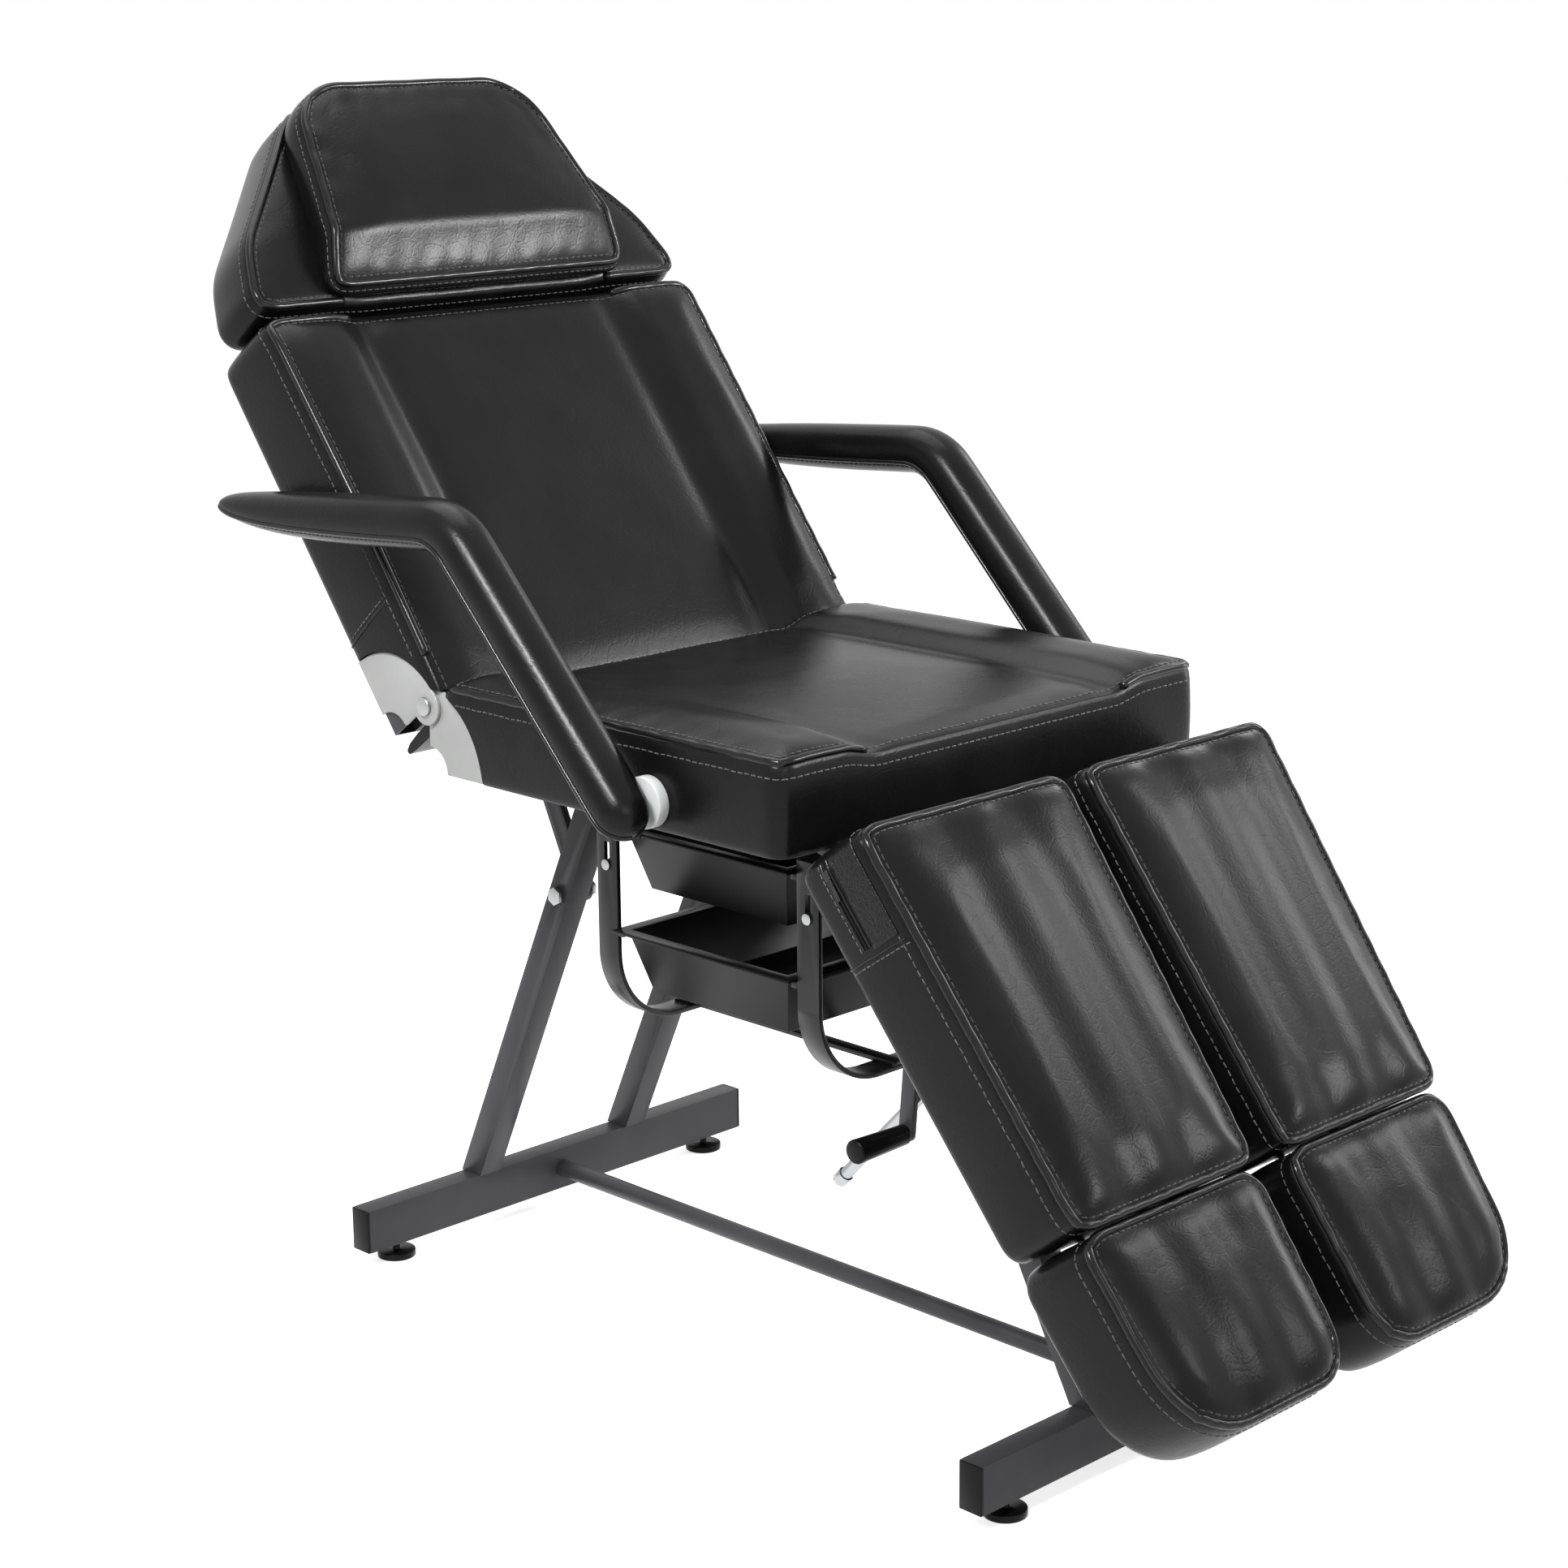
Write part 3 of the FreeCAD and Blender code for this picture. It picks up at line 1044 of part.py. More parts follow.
LEG_START = "(-seat_length - pad_gap / 2)"
LEG_END = "(-seat_length - leg_length)"
LEG_FRAME_LOW_X = "(leg_inner_end + skirt + soft_gap)"
LEG_FRAME_HIGH_X = "(leg_outer_end - skirt - soft_gap)"
LEG_FRAME_NEAR = f"({LEG_END} + skirt + soft_gap)"
LEG_FRAME_FAR = f"({LEG_START} - skirt - soft_gap)"
CATCH_Y = "(-seat_length - lock_reach)"
FOOT_ROD_Z = f"({UNDERSIDE} + leg_tube_high / 2)"
FOOT_START = f"({LEG_END} - foot_gap)"
FOOT_END = f"({FOOT_START} - foot_length)"
FOOT_PLATE_Z = f"({FOOT_ROD_Z} + foot_rod_diameter / 2)"
FOOT_BOARD_Z = f"({FOOT_PLATE_Z} + bracket_sheet)"
FOOT_BOARD_TOP = f"({FOOT_BOARD_Z} + board_thick)"
foot_rod_places = [f"(foot_rod_mid {sign} foot_rod_spread / 2)" for sign in "-+"]

leg_sides, leg_rows = frame_tubes(LEG_FRAME_LOW_X, LEG_FRAME_HIGH_X, LEG_FRAME_NEAR, LEG_FRAME_FAR,
                                  LEG_FRAME_TOP,
                                  (CATCH_Y,))
foot_bores = [along_y(place, "foot_rod_diameter / 2 + slide_gap", f"{LEG_END} - overrun",
                      f"{LEG_FRAME_NEAR} + 2 * tube_wide", FOOT_ROD_Z) for place in foot_rod_places]
foot_guides = [
    cut(along_y(place, "foot_rod_diameter / 2 + guide_wall", f"{LEG_FRAME_NEAR} + tube_wide",
                f"{LEG_FRAME_NEAR} + tube_wide + guide_length", FOOT_ROD_Z),
        along_y(place, "foot_rod_diameter / 2 + slide_gap", f"{LEG_FRAME_NEAR} + tube_wide",
                f"{LEG_FRAME_NEAR} + tube_wide + guide_length", FOOT_ROD_Z))
    for place in foot_rod_places
]
EAR_IN = "(lock_rod_diameter / 2 + lock_ear_gap)"
EAR_OUT = "(lock_rod_diameter / 2 + lock_ear_gap + lock_ear_thick)"
ear_y = (f"{CATCH_Y} - lock_ear_long / 2", f"{CATCH_Y} + lock_ear_long / 2")
lock_bracket = cut(
    fuse(box((f"lock_place - {EAR_OUT}", f"lock_place + {EAR_OUT}"), ear_y,
             (f"{UNDERSIDE} - lock_ear_thick", UNDERSIDE)),
         *[box(x, ear_y, (f"{UNDERSIDE} - lock_ear_deep", f"{UNDERSIDE} - lock_ear_thick / 2"))
           for x in ((f"lock_place - {EAR_OUT}", f"lock_place - {EAR_IN}"),
                     (f"lock_place + {EAR_IN}", f"lock_place + {EAR_OUT}"))]),
    cylinder("x", "lock_pin_diameter / 2 + turn_gap", ("0", CATCH_Y, f"{UNDERSIDE} - lock_drop"),
             "2 * lock_place"))
leg_lugs = [hinge_lug("leg_ear_inner + leg_ear_thick + turn_gap", -1),
            hinge_lug("leg_ear_outer - leg_ear_thick - turn_gap", -1)]
leg_frame = group(*leg_sides, cut(leg_rows[0], *foot_bores), *leg_rows[1:], *foot_guides, lock_bracket,
                  *leg_lugs)
leg_board = box((LEG_FRAME_LOW_X, LEG_FRAME_HIGH_X), (LEG_FRAME_NEAR, LEG_FRAME_FAR),
                (LEG_FRAME_TOP, LEG_BOARD_TOP))

leg_near, leg_far = -size("seat_length") - size("leg_length"), -size("seat_length") - size("pad_gap") / 2
leg_ends = [(leg_near, size("leg_inner_end"), size("leg_outer_end")),
            (leg_far, size("leg_inner"), size("leg_outer"))]


def split_pad(near_end, far_end, bottom, top, radii):
    """A channelled pad beside the middle line, tapered between two ends."""
    (near, low_near, high_near), (far, low_far, high_far) = near_end, far_end
    loft = section_loft((near - overrun, low_near, high_near), (far + overrun, low_far, high_far), bottom,
                        top,
                        FOOT_CHANNELS, crown / 2)
    plan = plan_box(near - corner_room, far + corner_room, low_near - corner_room,
                    high_near + corner_room,
                    low_far - corner_room, high_far + corner_room, radii, bottom, top)
    return plain(loft.common(pad_side(near, far, bottom, top, crown, wide_side)).common(plan))


corner = size("pad_corner")
leg_cushion = cut(
    split_pad(*leg_ends, underside, bed_top, (corner, corner, corner, corner)),
    pocket((f"{LEG_FRAME_LOW_X} - soft_gap", f"{LEG_FRAME_HIGH_X} + soft_gap"),
           (f"{LEG_FRAME_NEAR} - soft_gap", f"{LEG_FRAME_FAR} + soft_gap"), LEG_BOARD_TOP),
    *[along_y(place, "foot_rod_diameter / 2 + 2 * slide_gap", f"{LEG_END} - overrun",
              f"{LEG_FRAME_NEAR} + tube_wide",
              FOOT_ROD_Z) for place in foot_rod_places])

foot_rods = [along_y(place, "foot_rod_diameter / 2", f"{FOOT_START} - foot_rod_seat",
                     f"{LEG_END} + foot_rod_hidden",
                     FOOT_ROD_Z) for place in foot_rod_places]
FOOT_BOARD_X = [f"({place} {sign} 2 * foot_rod_diameter)" for place, sign in zip(foot_rod_places, "-+")]
FOOT_BOARD_NEAR = f"({FOOT_START} - foot_length + foot_small_corner)"
FOOT_BOARD_FAR = f"({FOOT_START} - skirt - soft_gap)"
foot_plate = box(FOOT_BOARD_X, (f"{FOOT_START} - foot_rod_seat", FOOT_BOARD_FAR),
                 (FOOT_PLATE_Z, FOOT_BOARD_Z))
foot_rods_group = group(*foot_rods, foot_plate)
foot_board = box(FOOT_BOARD_X, (FOOT_BOARD_NEAR, FOOT_BOARD_FAR), (FOOT_BOARD_Z, FOOT_BOARD_TOP))
foot_top = bed_top - size("foot_top_drop")
foot_far = leg_near - size("foot_gap")
foot_near = foot_far - size("foot_length")
foot_cushion = cut(
    split_pad((foot_near, size("foot_inner_end"), size("foot_outer_end")),
              (foot_far, size("leg_inner_end"), size("leg_outer_end")), foot_top - size("foot_thick"),
              foot_top,
              (size("foot_small_corner"), size("foot_big_corner"), corner, corner)),
    pocket((f"{FOOT_BOARD_X[0]} - soft_gap", f"{FOOT_BOARD_X[1]} + soft_gap"),
           (f"{FOOT_BOARD_NEAR} - soft_gap", f"{FOOT_BOARD_FAR} + soft_gap"), FOOT_BOARD_TOP),
    *[along_y(place, "foot_rod_diameter / 2 + soft_gap", f"{FOOT_BOARD_FAR} - overrun",
              f"{FOOT_START} + overrun",
              FOOT_ROD_Z) for place in foot_rod_places])

# Leg lock: the rod pinned under the leg pad, the collar it slides through and the lever

def rod_line(leg_turn):
    """The rod's pinned end, its angle and its reach to the collar at a leg angle."""
    pinned = turned(leg_hinge, leg_turn).multVec(
        Vector(0, -size("seat_length") - size("lock_reach"), underside - size("lock_drop")))
    span = pinned - lock_pivot
    span_angle = math.degrees(math.atan2(span.z, span.y))
    angle = span_angle + 180 - math.degrees(math.asin(size("lock_arm") / span.Length))
    return pinned, angle, math.sqrt(span.Length ** 2 - size("lock_arm") ** 2)


catch, rod_angle, rest_reach = rod_line(size("leg_angle"))
_, rod_flat_angle, flat_reach = rod_line(0)
rod_travel = flat_reach - rest_reach
rod_way = beside(Vector(), rod_angle, 1)
collar = catch + rod_way * (lock_pivot - catch).dot(rod_way)
LOCK_FACE = "(leg_place + stand_tube / 2 + prop_gap)"
place_x = Vector(size("lock_place"), 0, 0)
block_half = size("lock_block") / 2
arm_x = Vector(size("leg_place") + size("stand_tube") / 2 + size("prop_gap") + size("lock_arm_thick") / 2,
               0, 0)
pivot_text = (literal(lock_pivot.y), literal(lock_pivot.z))
rod_start, rod_end = catch + place_x, catch + place_x + rod_way * size("lock_rod_length")
lock_collar = cut(
    fuse(cylinder("x", "lock_hub_radius", (LOCK_FACE, *pivot_text), "lock_arm_thick"),
         slanted(lock_pivot + arm_x, collar + arm_x, "lock_arm_thick", "lever_wide"),
         slanted(collar + place_x - rod_way * block_half, collar + place_x + rod_way * block_half,
                 "lock_block",
                 "lock_block")),
    cylinder("x", "bolt_diameter / 2 + turn_gap", ("0", *pivot_text), "2 * lock_place"),
    round_between(rod_start, rod_end, "lock_rod_diameter / 2 + slide_gap"))
cap_start = rod_end - rod_way * size("rod_cap_long")
catch_text = (literal(catch.y), literal(catch.z))
lock_rod = fuse(
    round_between(rod_start, rod_end, "lock_rod_diameter / 2"),
    round_between(cap_start, rod_end, "rod_cap_diameter / 2"),
    cylinder("x", "lock_eye_radius", ("lock_place - lock_eye_thick / 2", *catch_text), "lock_eye_thick"),
    cylinder("x", "lock_pin_diameter / 2", (f"lock_place - {EAR_IN} + turn_gap", *catch_text),
             f"2 * ({EAR_IN} - turn_gap)"))
LEVER_IN = "(lock_place + lock_block / 2 + lever_gap)"
LEVER_OUT = f"({LEVER_IN} + lever_thick)"
lever_x = Vector(size("lock_place") + size("lock_block") / 2 + size("lever_gap")
                 + size("lever_thick") / 2, 0, 0)
lever_tip = beside(lock_pivot, size("lever_angle"), size("lever_length"))
lever_tip_text = (literal(lever_tip.y), literal(lever_tip.z))
HUB_START = f"({LOCK_FACE} + lock_arm_thick + turn_gap)"
lock_lever = cut(
    fuse(cylinder("x", "lever_wide / 2 + lever_gap", (HUB_START, *pivot_text),
                  f"{LEVER_OUT} - {HUB_START}"),
         slanted(lock_pivot + lever_x, lever_tip + lever_x, "lever_thick", "lever_wide"),
         cylinder("x", "lever_wide / 2", (LEVER_IN, *lever_tip_text), "lever_thick")),
    cylinder("x", "bolt_diameter / 2 + turn_gap", ("0", *pivot_text), "2 * lock_place"))
lock_grip = doc.addObject("Part::Cone", "Grip")
lock_grip.setExpression("Radius1", bound("lever_grip_tip / 2"))
lock_grip.setExpression("Radius2", bound("lever_grip_diameter / 2"))
lock_grip.setExpression("Height", bound("lever_grip_length"))
lock_grip.Placement = Placement(Vector(0, lever_tip.y, lever_tip.z), AXIS_TURNS["x"])
lock_grip.setExpression("Placement.Base.x", bound(LEVER_OUT))


# Armrests

ARM_FACE = "(pad_width / 2 + soft_gap + spacer_thick)"
ARM_MIDDLE = f"({ARM_FACE} + arm_face_gap + arm_wide / 2)"
arm_pivot = Vector(half_width + size("soft_gap") + size("spacer_thick")
                   + size("arm_face_gap") + size("arm_wide") / 2,
                   size("arm_pivot_y"), size("arm_pivot_z"))
elbow_turn = math.radians(size("arm_rise") + size("arm_fall"))
elbow_cut = size("arm_bend") * math.tan(elbow_turn / 2)
lower_run = size("arm_lower") - elbow_cut
bend_run = size("arm_bend") * elbow_turn
upper_run = size("arm_upper") - elbow_cut


def arm_station(distance):
    """The point and heading of the armrest's middle line, measured from its pivot."""
    if distance <= lower_run:
        return beside(arm_pivot, size("arm_rise"), distance), size("arm_rise")
    bend_start = beside(arm_pivot, size("arm_rise"), lower_run)
    if distance <= lower_run + bend_run:
        turn = math.degrees((distance - lower_run) / size("arm_bend"))
        centre = beside(bend_start, size("arm_rise") - 90, size("arm_bend"))
        heading = size("arm_rise") - turn
        return beside(centre, heading + 90, size("arm_bend")), heading
    centre = beside(bend_start, size("arm_rise") - 90, size("arm_bend"))
    bend_end = beside(centre, -size("arm_fall") + 90, size("arm_bend"))
    return beside(bend_end, -size("arm_fall"), distance - lower_run - bend_run), -size("arm_fall")


def arm_section(distance, wide_share, deep_share, top_shift=0.0):
    """An oval cut through the armrest pad, as four arcs."""
    point, heading = arm_station(distance)
    half_wide, half_deep = size("arm_wide") / 2 * wide_share, size("arm_deep") / 2 * deep_share
    up, across = beside(Vector(), heading + 90, 1), Vector(1, 0, 0)
    middle = point + up * top_shift

    def at(x_share, up_share):
        return middle + across * (half_wide * x_share) + up * (half_deep * up_share)

    bulge = ARM_BULGE_SHARE
    corners = [at(1, 0), at(0, 1), at(-1, 0), at(0, -1)]
    middles = [at(bulge, bulge), at(-bulge, bulge), at(-bulge, -bulge), at(bulge, -bulge)]
    return Part.Wire([arc(corners[i], middles[i], corners[(i + 1) % 4]) for i in range(4)])


def arm_pad_shape():
    """The padded armrest: a round front end, an elbow and a long thin rear tip."""
    start = -size("arm_start")
    stations = [(start + (size("arm_start") * share), wide, deep, 0.0) for share, wide,
                deep in ARM_FRONT_SHARES]
    stations.append((lower_run, 1.0, 1.0, 0.0))
    stations += [(lower_run + bend_run * step / BEND_STEPS, 1.0, 1.0,
                  0.0) for step in range(1, BEND_STEPS + 1)]
    tip_start = lower_run + bend_run
    for share, wide, deep in ARM_TIP_SHARES:
        lift = size("arm_deep") / 2 * (1 - deep) * TIP_LIFT_SHARE
        stations.append((tip_start + upper_run * share, wide, deep, lift))
    return Part.makeLoft([arm_section(*station) for station in stations], True, True)


CORE_START = f"({ARM_MIDDLE} - arm_core_thick / 2)"
arm_elbow = beside(arm_pivot, size("arm_rise"), size("arm_lower"))
core_tip = beside(arm_elbow, -size("arm_fall"), size("arm_upper") - size("arm_tip_margin") * 2)
core_ends = [(literal(end.y), literal(end.z)) for end in (arm_pivot, arm_elbow, core_tip)]


def arm_core(grow):
    """The bent flat bar inside the pad, or its cavity when it is grown."""
    thick, wide = f"arm_core_thick + 2 * {grow}", f"arm_core_wide + 2 * {grow}"
    rounds = [cylinder("x", f"({wide}) / 2", (f"{CORE_START} - {grow}", *end),
                       thick) for end in core_ends]
    return fuse(slanted(arm_pivot, arm_elbow, thick, wide), slanted(arm_elbow, core_tip, thick, wide),
                *rounds)


arm_bolt_place = ("arm_pivot_y", "arm_pivot_z")
arm_core_piece = cut(arm_core("0"), cylinder("x", "arm_bolt_diameter / 2 + turn_gap",
                                             (f"{CORE_START} - overrun", *arm_bolt_place),
                                             "arm_core_thick + 2 * overrun"))
arm_pad = cut(plain(arm_pad_shape()), arm_core("soft_gap"),
              cylinder("x", "bush_diameter / 2 + 2 * soft_gap", ("pad_width / 2", *arm_bolt_place),
                       f"{CORE_START} - pad_width / 2"),
              cylinder("x", "arm_head_across / sqrt(3) + soft_gap", (CORE_START, *arm_bolt_place),
                       "arm_core_thick + arm_head_thick + 3 * soft_gap"))
spacer = cut(
    fuse(cylinder("x", "bush_diameter / 2", (SEAT_HALF, *arm_bolt_place),
                  f"{CORE_START} - turn_gap - {SEAT_HALF}"),
         cylinder("x", "spacer_diameter / 2", ("pad_width / 2 + soft_gap", *arm_bolt_place),
                  "spacer_thick")),
    cylinder("x", "arm_bolt_diameter / 2", ("0", *arm_bolt_place), "pad_width"))
node("armrest_spacers", group(spacer, mirrored(spacer)))
arm_bolt = fuse(
    cylinder("x", "arm_bolt_diameter / 2", (f"{SEAT_HALF} - tube_wide", *arm_bolt_place),
             f"{CORE_START} + arm_core_thick + turn_gap - {SEAT_HALF} + tube_wide"),
    hexagon("x", "arm_head_across", (f"{CORE_START} + arm_core_thick + turn_gap", *arm_bolt_place),
            "arm_head_thick"),
    hexagon("x", "arm_head_across", (f"{SEAT_HALF} - tube_wide - nut_high", *arm_bolt_place), "nut_high"))


# Bolts and nuts of the stand

def stand_bolt(point, outer, inner):
    """A hexagon bolt along X through a leg, with its head outside and its nut inside."""
    place = (literal(point.y), literal(point.z))
    return fuse(
        cylinder("x", "bolt_diameter / 2", (inner, *place), f"{outer} - ({inner})"),
        hexagon("x", "bolt_across", (outer, *place), "bolt_head_thick"),
        hexagon("x", "bolt_across", (inner, *place), "nut_high"))


prop_bolt = stand_bolt(prop_pivot, "(leg_place + stand_tube / 2)", f"{BAR_IN} - prop_gap - nut_high")
lock_bolt = stand_bolt(lock_pivot, f"({LEVER_OUT} + turn_gap)", "leg_place - stand_tube / 2 - nut_high")
bolts = [prop_bolt, lock_bolt, arm_bolt, *screws]
node("frame_bolts", group(*bolts, *map(mirrored, bolts)))
node("foot_nuts", group(*nuts))

pairs = {
    "leg_frame": leg_frame, "leg_board": leg_board, "leg_cushion": leg_cushion,
    "foot_rods": foot_rods_group, "foot_board": foot_board, "foot_cushion": foot_cushion,
    "lock_collar": lock_collar, "lock_rod": lock_rod, "lock_lever": lock_lever, "lock_grip": lock_grip,
    "armrest_core": arm_core_piece, "armrest_pad": arm_pad,
}
for label, piece in pairs.items():
    node(f"left_{label}", group(piece))
    node(f"right_{label}", group(mirrored(piece)))

doc.recompute()
for item in doc.Objects:
    if {"Invalid", "Error"} & set(item.State):
        raise RuntimeError(f"{item.Label} could not be made: {item.State}")


# Poses at rest, then the origin under the middle of the whole chair

BACK_NODES = ("back_frame", "back_board", "back_cushion", "back_hinge_plates", "rack_plates",
              "head_rod_guides",
              "head_rods", "head_board", "head_cushion", "head_pillow")
LEG_NODES = [f"{side}_{label}" for side in ("left", "right")
             for label in ("leg_frame", "leg_board", "leg_cushion", "foot_rods", "foot_board",
                           "foot_cushion")]
for label in BACK_NODES:
    nodes[label].Placement = turned(pivot, size("recline_angle")).multiply(nodes[label].Placement)
for label in LEG_NODES:
    nodes[label].Placement = turned(leg_hinge, size("leg_angle")).multiply(nodes[label].Placement)

reach = FreeCAD.BoundBox()
for piece in nodes.values():
    reach.add(piece.Shape.optimalBoundingBox(False, False))
centring = Vector(0, -(reach.YMin + reach.YMax) / 2, 0)
for piece in nodes.values():
    piece.Placement = Placement(centring, Rotation()).multiply(piece.Placement)

os.makedirs("parts", exist_ok=True)
for label, piece in nodes.items():
    shape = piece.Shape
    if shape.isNull() or not shape.isValid() or not shape.Solids:
        raise RuntimeError(f"{label} is not a valid solid")
    shape.exportStep(f"parts/{label}.step")

print(f"{len(nodes)} nodes, {reach.XLength:.1f} x {reach.YLength:.1f} x {reach.ZLength:.1f} mm")
print(f"x from {reach.XMin:.2f}")
hinges = {"recline pivot": pivot, "leg hinge": leg_hinge, "prop pivot": prop_pivot, "prop top": prop_top,
          "lock pivot": lock_pivot, "lock catch": catch, "armrest pivot": arm_pivot,
          "release lever end": lever_end,
          "spring start": spring_start, "spring end": spring_end, "lock collar": collar}
for name, place in hinges.items():
    moved = place + centring
    print(f"{name}: {moved.x:.4f} {moved.y:.4f} {moved.z:.4f}")
print(f"prop angle {prop_angle:.4f} at rest and {prop_flat_angle:.4f} flat")
print(f"rod angle {rod_angle:.4f} at rest and {rod_flat_angle:.4f} flat, slide {rod_travel:.4f} mm")
print(f"shift {centring.y:.4f}")
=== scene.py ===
# %% [markdown]
# A tattoo chair with a reclining back, two split leg rests and swing armrests, dressed in Blender.
# The exact model is the frame: it holds every tube, plate and joint at its real size, in metres.
# This file gives each piece its looks. The padded parts are sewn here, and the metal gets its edges and paint.

# %% Load the frame
import json
import math

import bmesh
import bpy
import numpy as np
from mathutils import Matrix, Vector


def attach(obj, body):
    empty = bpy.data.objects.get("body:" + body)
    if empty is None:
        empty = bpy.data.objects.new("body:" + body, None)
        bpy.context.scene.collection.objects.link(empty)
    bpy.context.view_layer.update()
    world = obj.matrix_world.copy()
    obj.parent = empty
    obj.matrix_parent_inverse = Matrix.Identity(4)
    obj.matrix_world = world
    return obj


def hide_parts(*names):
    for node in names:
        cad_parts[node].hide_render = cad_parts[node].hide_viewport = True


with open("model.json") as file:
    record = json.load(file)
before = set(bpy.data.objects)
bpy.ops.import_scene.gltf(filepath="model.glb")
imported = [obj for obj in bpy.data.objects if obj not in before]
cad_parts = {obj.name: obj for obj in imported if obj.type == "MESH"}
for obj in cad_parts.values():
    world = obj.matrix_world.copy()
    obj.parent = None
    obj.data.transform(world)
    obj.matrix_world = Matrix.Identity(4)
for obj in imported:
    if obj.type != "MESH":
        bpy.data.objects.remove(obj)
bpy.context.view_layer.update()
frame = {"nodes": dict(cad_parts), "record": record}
SLOT_OF = {part["node"]: part["material_slot"] for part in frame["record"]["subparts"]}
BODY_OF = {node: body for body, nodes in frame["record"]["behaviour"]["bodies"].items() for node in nodes}

# %% [markdown]
# The camera comes first, because every choice of detail depends on what it sees.
# Its place and lens were worked out from the photograph: the chair's level seat and its symmetry fix them.

# %% The camera
EYE = Vector((-2.180, -2.1582, 1.3042))
YAW, PITCH, ROLL = math.radians(-44.75), math.radians(-14.0), math.radians(-0.507)
SENSOR, LENS = 36, 74.44

ahead = Vector((-math.sin(YAW) * math.cos(PITCH), math.cos(YAW) * math.cos(PITCH), math.sin(PITCH)))
level = Vector((math.cos(YAW), math.sin(YAW), 0))
upright = level.cross(ahead)
right = math.cos(ROLL) * level + math.sin(ROLL) * upright
above = -math.sin(ROLL) * level + math.cos(ROLL) * upright

bpy.ops.object.camera_add(location=EYE)
camera = bpy.context.object
camera.rotation_euler = Matrix((right, above, -ahead)).transposed().to_euler()
camera.data.sensor_width = SENSOR
camera.data.lens = LENS
camera.data.dof.use_dof = False
bpy.context.scene.camera = camera
print("camera at", tuple(round(c, 3) for c in EYE))

# %% [markdown]
# Colours are written as sRGB hex values, as a paint card gives them, and Blender mixes light in linear values.
# One function turns the one into the other, and one adds a node to a material with its settings and its links.


# %% Colour and node helpers
def colour(hex_value, alpha=1.0):
    """A linear colour from an sRGB hex value such as 6b6b6b."""
    parts = [int(hex_value[i:i + 2], 16) / 255 for i in (0, 2, 4)]
    return [p / 12.92 if p <= 0.04045 else ((p + 0.055) / 1.055) ** 2.4 for p in parts] + [alpha]


def add(material, kind, settings=None, **links):
    """A new node of that kind. Settings go to its colour stops, properties or sockets, and links to its sockets."""
    node = material.node_tree.nodes.new(kind)
    for key, value in (settings or {}).items():
        if key == "stops":
            for stop, (position, tone) in zip(node.color_ramp.elements, value):
                stop.position, stop.color = position, tone
        elif hasattr(node, key):
            setattr(node, key, value)
        else:
            node.inputs[key].default_value = value
    plug(node, **links)
    return node


def plug(node, **links):
    """Links sources to a node's sockets, named with underscores, or numbered as in i0."""
    for key, source in links.items():
        name = int(key[1:]) if key[1:].isdigit() else key.replace("_", " ")
        node.id_data.links.new(source, node.inputs[name])


def new_material(name, **settings):
    """A material, its main shader with these settings on its own sockets, and the place on the piece."""
    material = bpy.data.materials.new(name)
    material.use_nodes = True
    shader = material.node_tree.nodes["Principled BSDF"]
    for key, value in settings.items():
        shader.inputs[key.replace("_", " ")].default_value = value
    return material, shader, add(material, "ShaderNodeTexCoord").outputs["Object"]


def two_tones(material, source, dark, light, low, high):
    """The colour between two sRGB tones that a source between low and high picks."""
    stops = [(low, colour(dark)), (high, colour(light))]
    return add(material, "ShaderNodeValToRGB", {"stops": stops}, Fac=source).outputs["Color"]


print("black leather 0b0b0c is", round(colour("0b0b0c")[0], 4), "in linear light")

# %% [markdown]
# Polyurethane leather is a knitted cloth with a soft plastic skin. The skin is pressed with a fine pebble grain,
# so its shine breaks up into a satin gloss, and where the foam pushes it out it goes smooth.
# The real grain is about 1 mm wide, which is finer than one pixel here, so it is drawn at 2.2 mm.
# Over it lie fine creases about 18 mm apart, which only show where the light glances off.

# %% Black polyurethane leather
GRAIN, CREASES, WAVES = 1 / 0.0022, 1 / 0.018, 1 / 0.07
leather, skin, place = new_material("pu_leather_black", Specular_IOR_Level=0.16)
pebbles = add(leather, "ShaderNodeTexVoronoi", {"Scale": GRAIN, "feature": "SMOOTH_F1"}, Vector=place)
waves = add(leather, "ShaderNodeTexNoise", {"Scale": WAVES, "Detail": 3.0}, Vector=place)
bent = add(leather, "ShaderNodeMixRGB", {"Fac": 0.03}, Color1=place, Color2=waves.outputs["Color"])
creases = add(leather, "ShaderNodeTexVoronoi", {"Scale": CREASES, "feature": "DISTANCE_TO_EDGE"},
              Vector=bent.outputs["Color"])
crease_depth = two_tones(leather, creases.outputs["Distance"], "000000", "ffffff", 0.0, 0.06)
gloss = add(leather, "ShaderNodeMapRange", {"To Min": 0.24, "To Max": 0.31}, Value=waves.outputs["Fac"])
relief = add(leather, "ShaderNodeBump", {"Strength": 0.25, "Distance": 0.0003}, Height=pebbles.outputs["Distance"])
for strength, distance, height in ((0.10, 0.0004, crease_depth), (0.2, 0.002, waves.outputs["Fac"])):
    relief = add(leather, "ShaderNodeBump", {"Strength": strength, "Distance": distance}, Height=height,
                 Normal=relief.outputs["Normal"])
plug(skin, Base_Color=two_tones(leather, waves.outputs["Fac"], "0b0b0c", "101011", 0.35, 0.7),
     Roughness=gloss.outputs["Result"], Normal=relief.outputs["Normal"])
print("leather grain at", round(GRAIN), "pebbles to the metre")

# %% [markdown]
# The piping is the same leather wrapped round a cord and pulled tight, so it is smoother and a little glossier. The
# end panels of the leg covers are pressed with a coarse pebble. The thread is twisted polyester, dull beside the
# leather, so it shows as a fine dotted line: charcoal on the sides, and black beside the piping. Plywood carries
# the foam, stained black, with fine grain lines along the sheet. All four are one recipe: two tones and a pattern.


